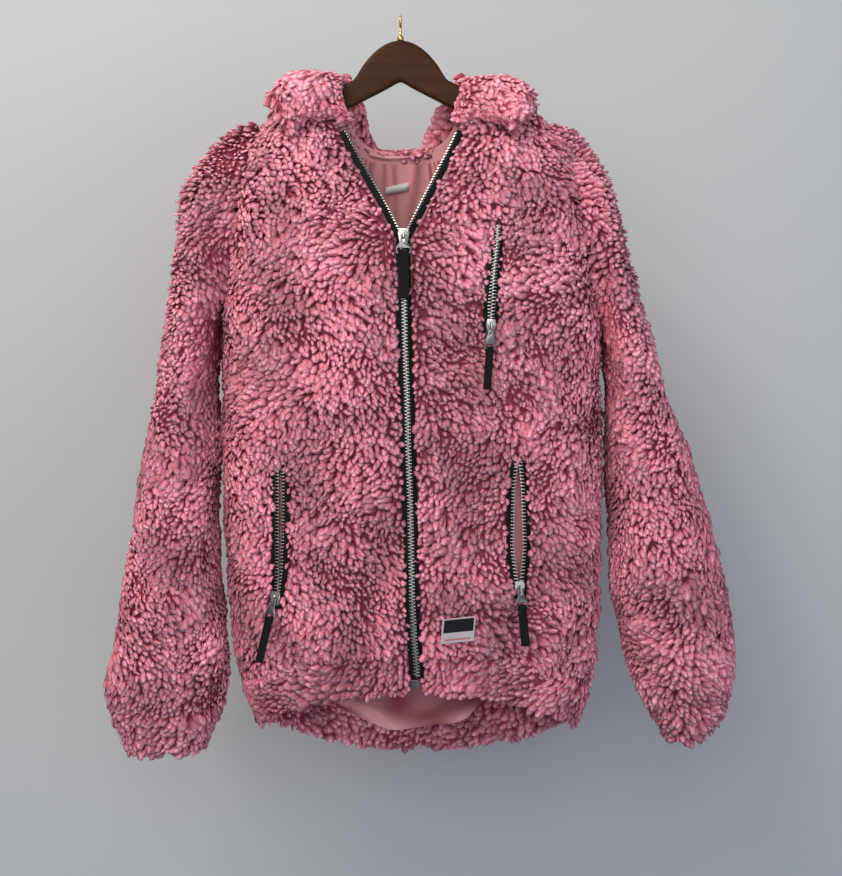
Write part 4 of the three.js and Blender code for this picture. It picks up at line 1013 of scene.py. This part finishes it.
def lining_point(turn, down):
    """The satin of the back. down: 0 at the neck, 1 at the lowest edge of the part past the hem."""
    across = (turn - LINING_FROM) / (LINING_TO - LINING_FROM)
    fall = np.minimum(1, down / LINING_HEM)
    row = LINING_TOP + (HEM_TOP + 0.3 - LINING_TOP) * fall
    ease = np.sin(np.pi * np.clip(np.minimum(across * 9, (1 - across) * 9), 0, 1) * 0.5)
    wander = across + 0.01 * np.sin(fall * 9 + across * 17) + 0.006 * np.sin(across * 61)
    pleat = (0.5 - 0.5 * np.cos(2 * np.pi * 34 * wander)) ** 1.4
    small = (0.5 - 0.5 * np.cos(2 * np.pi * 11 * wander + 1.3)) ** 1.2
    fade = np.exp(-fall * 4.5) * ease
    crease = 2.2 * drift(np.stack([across * 400, fall * 130, 0 * fall], -1), 60, 5) * ease
    off_hem = 4 * np.maximum(0, fall - 0.85) / 0.15
    deep = -11.6 - (3.4 * pleat + 4.0 * small) * fade - off_hem
    deep = deep - np.abs(crease) * np.minimum(1, fall * 6)
    point = body_point(row, turn, deep)
    past = np.maximum(0, down - LINING_HEM) / (1 - LINING_HEM)
    belly = np.exp(-(((across - 0.52) / 0.16) ** 4))
    drop = (38 * belly + 7) * np.abs(np.sin(np.pi * np.clip(across, 0, 1))) ** 0.7
    drop = drop + 3 * np.sin(across * 38) * belly
    swing = past * (19 + 4 * np.sin(across * 21) + 2.5 * np.sin(across * 47 + 1))
    crumple = drift(np.stack([across * 400, past * 60, 0 * past], -1), 26, 8)
    swing = swing + 13 * past * np.clip(crumple, -0.25, 1.2) + 2 * past
    return point + np.stack([0 * past, -swing, -past * drop], -1)


def satin_sheet(name, points, hollow=0.0):
    """hollow: painted shade, 0 to 1, which darkens each point toward the fold colour."""
    rows, cols = points.shape[:2]
    made = new_object(
        name + "_satin", points, [grid_faces(rows, cols)], SATIN, "satin", [name],
        hollow=np.broadcast_to(hollow, (rows, cols)).ravel(),
    )


turns = np.linspace(LINING_FROM, LINING_TO, 361)
lining_downs = np.concatenate(
    [np.linspace(0, 0.3, 24), np.linspace(0.3, 0.84, 16)[1:], np.linspace(0.84, 1, 14)[1:]]
)
down_grid, turn_grid = np.meshgrid(lining_downs, turns, indexing="ij")
lining_points = lining_point(turn_grid, down_grid)
smooth_depth = lining_points.copy()
for _ in range(5):
    smooth_depth[:, 2:-2] = (smooth_depth[:, :-4] + smooth_depth[:, 4:] + smooth_depth[:, 2:-2] * 2) / 4
# Painted shade in the pleats' valleys: the further a point lies behind its smoothed row, the darker it is.
painted_fold_shade = np.clip(0.12 + (lining_points - smooth_depth)[..., 1] * -0.35, 0, 0.75)
# The satin hanging past the hem gets an even painted shadow with a slow mottle.
droop = np.clip((down_grid - 0.8) / 0.06, 0, 1)
painted_fold_shade = painted_fold_shade * (1 - droop) + droop * (0.5 + 0.3 * drift(lining_points, 22, 8))
satin_sheet("lining_back", lining_points, np.clip(painted_fold_shade, 0, 1))

facing_rows = np.linspace(12.55, 12.97, 6)
row_grid, turn_grid = np.meshgrid(facing_rows, np.linspace(0.33, 0.67, 81), indexing="ij")
facing = body_point(row_grid, turn_grid, np.full(row_grid.shape, -11.8))
lift = (row_grid - facing_rows[0]) / (facing_rows[-1] - facing_rows[0])
facing[..., 2] += 5 * lift + 0.35 * np.sin(turn_grid * 260) * (1 - lift)
satin_sheet("neck_facing", facing)


def strip(section, place):
    """Points of a strip and the faces round it. place: the line of points at one corner of its section."""
    points = np.stack([place(*corner) for corner in section], 1)
    return points, [grid_faces(*points.shape[:2], ring=True)]


u = np.linspace(0, 1, 25)
bow = np.sin(np.pi * u)
points, faces = strip(
    ((0, 2.25), (0, -2.25), (0.8, -2.4), (1.6, -2.25), (1.6, 2.25), (0.8, 2.4)),
    lambda inward, up: wall_at(-36 + 53 * u, -144 - 3.5 * bow + up, -13.3 - 1.4 * bow - inward, back=True),
)
new_object("hang_loop_satin", points, faces, SATIN, "satin", ["hang_loop"])
u = np.linspace(0, 1, 7)
points, faces = strip(
    ((0, 4.5), (0, -4.5), (0.9, -4.5), (0.9, 4.5)),
    lambda inward, up: wall_at(-18.5 + 28 * u, -185 + 28 * u * 0.19 + up, -15.65 - inward, back=True),
)
ends = np.array([[3, 2, 1, 0], [24, 25, 26, 27]])
new_object("neck_label_weave", points, [*faces, ends], WHITE_WEAVE, "patch", ["neck_label"])

for pocket, rows in POCKETS.items():
    z = np.linspace(rows["z"][0] + 8, rows["z"][-1] - 8, 26)[:, None]
    u = np.linspace(0, 1, 15)[None]
    x0, x1 = at_height(rows, "x0", z) - 9, at_height(rows, "x1", z) + 9
    deep = -12.2 - 1.6 * np.sin(np.pi * u) - 0.7 * np.sin(z / 9 + u * 7)
    points = wall_at(x0 + (x1 - x0) * u, z + 0 * u, deep)
    # the satin inside each pocket's window is darkened evenly as painted shade
    satin_sheet(pocket + "_facing", points, 0.6)
print("satin pieces laid")

# %% [markdown]
# The zips: woven tapes that dip below the pile, and one metal tooth after another along each edge.

# %% Zip tapes and teeth
TAPE_DEPTH = 4.0
TAPE_THICK = 1.4
PITCH = 3.7


def front_frame(x, z):
    """A place on the front with its ways out, to the wearer's left and up."""
    out = unit(wall_at(x, z, 2.0) - wall_at(x, z, 0.0))
    right = wall_at(np.asarray(x) + 1.5, z) - wall_at(np.asarray(x) - 1.5, z)
    right = along_cloth(right, out)
    return wall_at(x, z), out, right, np.cross(right, out)


def tape(name, node_name, inner, outer):
    """A tape between two lines of x and z, with a raised cord along the inner one."""
    section = (
        (0, TAPE_DEPTH + TAPE_THICK), (1, TAPE_DEPTH + TAPE_THICK), (1, TAPE_DEPTH), (0.42, TAPE_DEPTH),
        (0.36, TAPE_DEPTH - 0.5), (0.1, TAPE_DEPTH - 0.5), (0, TAPE_DEPTH),
    )
    points, faces = strip(
        section, lambda share, deep: wall_at(*(inner + (outer - inner) * share).T, -deep)
    )
    new_object(name, points, faces, TAPE, "black_tape", [node_name])


TOOTH = ((-1.3, 0.55), (1.5, 0.78), (3.3, 0.78), (3.3, -0.78), (1.5, -0.78), (-1.3, -0.55))
TOOTH_LAYERS = ((TAPE_DEPTH, 1.0), (TAPE_DEPTH - 1.1, 1.0), (TAPE_DEPTH - 1.5, 0.62))
TOOTH_MIDDLE = 0.9


def teeth(name, x, z, side):
    """One tooth at each place of a line. side: which way its tape lies."""
    along = unit(np.stack([np.gradient(x), np.gradient(z)], -1))
    place, out, right, up = front_frame(x, z)
    way = unit(right * along[:, :1] + up * along[:, 1:])
    across = np.cross(way, out) * side
    points = []
    for deep, shrink in TOOTH_LAYERS:
        for far, half in TOOTH:
            reach = TOOTH_MIDDLE + (far - TOOTH_MIDDLE) * shrink
            points.append(place - out * deep + across * reach + way * half * shrink)
    points = np.stack(points, 1)
    walls = grid_faces(len(TOOTH_LAYERS), len(TOOTH), ring=True)
    top = np.array([[12, 13, 16, 17], [13, 14, 15, 16]])
    made = new_object(name, points, repeated(points, walls, top), SILVER, "zip_metal")
    made.data.set_sharp_from_angle(angle=0.6)
    return len(place)


zip_z = np.linspace(-748, SLIDER_Z, 60)
zip_x = at_height(ZIP_LINE, "x", zip_z)
PARTED_FROM = 3  # the parted edges' points below this one lie behind the slider
tooth_count = 0
for side, name, parted in ((-1, "right", NECK_RIGHT), (1, "left", NECK_LEFT)):
    fine = np.linspace(0, len(parted["z"]) - 1, 40)
    line = {"z": column(parted, "z", fine), "x": column(parted, "x", fine)}
    edges = []
    for from_closed, from_parted in ((0.15, -1.3), (8.2, 7.0)):
        above = beside(line, side, from_parted)
        x = np.concatenate([zip_x + side * from_closed, above["x"][PARTED_FROM:]])
        edges.append(np.stack([x, np.concatenate([zip_z, above["z"][PARTED_FROM:]])], -1))
    tape("zip_tape_" + name, "zip_tape_" + name, *edges)
    z = np.arange(-744, -268, PITCH) + (PITCH / 2 if side > 0 else 0)
    tooth_count += teeth(f"teeth_{name}", at_height(ZIP_LINE, "x", z), z, side)
    length = np.concatenate([[0], np.cumsum(np.hypot(np.diff(line["x"]), np.diff(line["z"])))])
    at = np.arange(9, length[-1] - 1, PITCH)
    x, z = np.interp(at, length, line["x"]), np.interp(at, length, line["z"])
    tooth_count += teeth(f"teeth_parted_{name}", x, z, side)

for pocket, rows in POCKETS.items():
    z = np.linspace(rows["z"][0] - 1, rows["z"][-1] + 1, 34)
    x0, x1 = at_height(rows, "x0", z), at_height(rows, "x1", z)
    wide = np.minimum(7.8, (x1 - x0) * 0.455)
    for edge, sign, label in ((x0, 1, "outer"), (x1, -1, "inner")):
        node_name = f"{pocket}_tape_{label}"
        inner = np.stack([edge + sign * wide, z], -1)
        tape(node_name + "_weave", node_name, inner, np.stack([edge + sign * 0.3, z], -1))
        tooth_z = np.arange(rows["z"][-1] + 6, rows["z"][0] - 3, PITCH) + (PITCH / 2 if sign > 0 else 0)
        tooth_x = np.interp(tooth_z, z[::-1], (edge + sign * (wide - 1.3))[::-1])
        tooth_count += teeth(f"{pocket}_teeth_{label}", tooth_x, tooth_z, -sign)
print("teeth:", tooth_count)

# %% [markdown]
# The sliders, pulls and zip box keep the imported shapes, with their edges rounded as cast metal is.

# %% Sliders, pulls and zip box


def dressed(name, material, rounding, body="jacket"):
    """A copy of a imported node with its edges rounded, in millimetres, and a finish of its own."""
    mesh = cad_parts[name].data.copy()
    mesh.name = name + "_finished"
    shape = bmesh.new()
    shape.from_mesh(mesh)
    bmesh.ops.remove_doubles(shape, verts=shape.verts, dist=1e-6)
    bmesh.ops.dissolve_limit(shape, angle_limit=0.02, verts=shape.verts, edges=shape.edges)
    shape.to_mesh(mesh)
    shape.free()
    mesh.materials.clear()
    mesh.materials.append(material)
    made = bpy.data.objects.new(name + "_finished", mesh)
    bpy.context.scene.collection.objects.link(made)
    mesh.shade_smooth()
    bevel = made.modifiers.new("rounding", "BEVEL")
    bevel.width = rounding / 1000
    bevel.segments = 2
    bevel.limit_method = "ANGLE"
    bevel.angle_limit = 0.6
    bevel.harden_normals = True
    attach(made, body)
    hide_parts(name)


PULLS = ("main", "right_pocket", "left_pocket", "chest_pocket")
for pull in PULLS:
    dressed(pull + "_slider", SILVER, 0.35)
    dressed(pull + "_pull_tab", GUNMETAL, 0.3, pull + "_pull")
    dressed(pull + "_pull_strap", TAPE, 0.25, pull + "_pull")
dressed("zip_box", GUNMETAL, 0.6)
print("sliders and pulls:", len(PULLS))

# %% [markdown]
# The blank woven patch with its dark block and thin line.

# %% Patch
PATCH_X, PATCH_Z, PATCH_WIDE, PATCH_TALL = 64, -692, 36, 27
ROWS_UP, COLS = 13, 17
up, share = np.meshgrid(
    np.linspace(-PATCH_TALL / 2, PATCH_TALL / 2, ROWS_UP), np.linspace(0, 1, COLS), indexing="ij"
)
slope = np.tan(np.radians(5))
patch_x = PATCH_X + (share - 0.5) * PATCH_WIDE + up * slope
patch_z = PATCH_Z + up + (share - 0.5) * PATCH_WIDE * slope
lift = 0.5 * np.cos(share * 5) - 0.4
faces_of = np.stack([wall_at(patch_x, patch_z, thick + lift) for thick in (1.8, 0.8)])
place = np.stack([share, (up + PATCH_TALL / 2) / PATCH_TALL, 0 * up], -1)
count = up.size
rim = np.concatenate([
    np.arange(COLS), np.arange(1, ROWS_UP) * COLS + COLS - 1,
    (ROWS_UP - 1) * COLS + np.arange(COLS - 2, -1, -1), np.arange(ROWS_UP - 2, 0, -1) * COLS,
])
sides = np.stack([rim, rim + count, np.roll(rim, -1) + count, np.roll(rim, -1)], -1)
grid = grid_faces(ROWS_UP, COLS)
new_object(
    "hem_patch_weave", faces_of, [grid, grid[:, ::-1] + count, sides], PATCH, "patch", ["hem_patch"],
    place=np.concatenate([place.reshape(-1, 3)] * 2),
).data.set_sharp_from_angle(angle=0.7)
print("patch laid on the pile")

# %% [markdown]
# The hanger: a flat lacquered board with an arched top, a turned collar, and a brass stem with its eye.

# %% Hanger
HANGER = table(
    "away top under",
    (0, -26.6, -73.6), (4, -26.9, -75.1), (11, -28.5, -79.1), (20, -32.7, -84), (30, -40.4, -89.2),
    (42, -53.9, -95.2), (53.5, -71.2, -100.9), (60, -75.1, -104.5), (85, -90.1, -118.3),
    (120, -111.1, -137.7), (160, -135.1, -159.9), (190, -153.1, -176.4), (204, -161.5, -184.2),
)
x = np.concatenate([np.linspace(-204, -60, 40), np.linspace(-60, 60, 81)[1:-1], np.linspace(60, 204, 40)])
station = np.interp(np.abs(x), HANGER["away"], np.arange(len(HANGER["away"])))
top, under = column(HANGER, "top", station), column(HANGER, "under", station)
middle, tall = (top + under) / 2, (top - under) / 2
turns = np.linspace(0, 2 * np.pi, 29)[:-1]
round_y = signed_power(np.cos(turns), 0.35) * 6
round_z = signed_power(np.sin(turns), 0.35)
board = np.stack(spread(x[:, None], round_y[None], middle[:, None] + tall[:, None] * round_z[None]), -1)
ends = np.stack([board[0].mean(0) - [0.6, 0, 0], board[-1].mean(0) + [0.6, 0, 0]])
count = board[..., 0].size
ring = np.arange(len(turns))
after = np.roll(ring, -1)
last = count - len(ring)
caps = np.concatenate([
    np.stack([after, ring, np.full(len(ring), count)], -1),
    np.stack([last + ring, last + after, np.full(len(ring), count + 1)], -1),
])
new_object(
    "hanger_board", np.concatenate([board.reshape(-1, 3), ends]),
    [grid_faces(*board.shape[:2], ring=True), caps], WALNUT, "walnut", ["hanger_body"],
)


def tube(path, radii):
    """Rings of points round a path, each with its own radius."""
    way = unit(np.gradient(path, axis=0))
    side = unit(np.cross(way, [1.0, 0, 0]))
    a = np.linspace(0, 2 * np.pi, TUBE_SIDES + 1)[:-1, None]
    around = side[:, None] * np.cos(a) + np.cross(side, way)[:, None] * np.sin(a)
    return path[:, None] + radii[:, None, None] * around


TUBE_SIDES = 14
angle = np.linspace(-0.93, 0.93, 49) * np.pi + np.pi / 2
eye = np.stack([0 * angle, np.cos(angle) * 6, -4.5 + np.sin(angle) * 6], -1)
eye_rings = tube(eye, np.full(len(eye), 1.5))
stem_z = np.array([-9.2, -10.4, -15, -20.4, -20.9, -21.2, -21.6, -22.4, -23.2, -24.6, -25.6, -26.1])
stem_r = np.array([0.4, 1.5, 1.5, 1.5, 2.2, 3.3, 3.7, 4.0, 4.0, 4.0, 3.9, 3.6])
stem_rings = tube(np.stack([0 * stem_z, 0 * stem_z, stem_z], -1), stem_r)
faces = [
    grid_faces(len(eye), TUBE_SIDES, ring=True),
    grid_faces(len(stem_z), TUBE_SIDES, ring=True) + len(eye) * TUBE_SIDES,
]
rings = np.concatenate([eye_rings, stem_rings])
new_object("hanger_stem_brass", rings, faces, BRASS, "brass", ["hanger_stem"])
print("hanger made")

# %% [markdown]
# The stand-in for the room: a pale wall, soft light from the upper left and the camera of the photograph.

# %% Room, light and camera
scene = bpy.context.scene
WALL = new_material("pale_wall", {"Roughness": 0.9, "Base Color": (0.54, 0.55, 0.545, 1)})[0]
wall_mesh = bpy.data.meshes.new("backdrop")
wall_corners = [(-2.6, 0.33, -2.6), (2.6, 0.33, -2.6), (2.6, 0.33, 1.8), (-2.6, 0.33, 1.8)]
wall_mesh.from_pydata(wall_corners, [], [(0, 1, 2, 3)])
wall_mesh.materials.append(WALL)
backdrop = bpy.data.objects.new("backdrop", wall_mesh)
scene.collection.objects.link(backdrop)

# Each lamp's name, place, the height it aims at on the hanger's axis, side, power and colour.
LAMPS = (
    ("window", (-1.0, -1.15, 1.35), -0.36, 1.3, 38, (1.0, 0.93, 0.83)),
    ("sky", (1.3, -1.9, -0.7), -0.5, 2.2, 12, (0.72, 0.84, 1.0)),
    ("doorway", (-0.35, -2.3, 0.2), -0.3, 1.6, 19, (0.98, 0.98, 1.0)),
)
for name, place, aim, size, power, colour in LAMPS:
    data = bpy.data.lights.new(name, "AREA")
    data.size = size
    data.energy = power
    data.color = colour
    lamp = bpy.data.objects.new(name, data)
    lamp.location = place
    lamp.rotation_euler = (Vector((0, 0, aim)) - Vector(place)).to_track_quat("-Z", "Y").to_euler()
    scene.collection.objects.link(lamp)

world = bpy.data.worlds.new("room")
world.use_nodes = True
background = next(n for n in world.node_tree.nodes if n.type == "BACKGROUND")
background.inputs["Color"].default_value = (0.82, 0.88, 1.0, 1)
background.inputs["Strength"].default_value = 0.34
scene.world = world
scene.view_settings.view_transform = "Standard"
scene.view_settings.look = "None"

camera = bpy.data.objects.new("camera", bpy.data.cameras.new("camera"))
camera.data.lens = 60.75
camera.data.sensor_width = 36
camera.data.clip_start = 0.01
camera.location = (0.0236, -1.7, -0.483)
camera.rotation_euler = (np.pi / 2, 0, 0)
scene.collection.objects.link(camera)
scene.camera = camera
print("camera and", len(LAMPS), "lights")

# %% Finish
print("scene built")
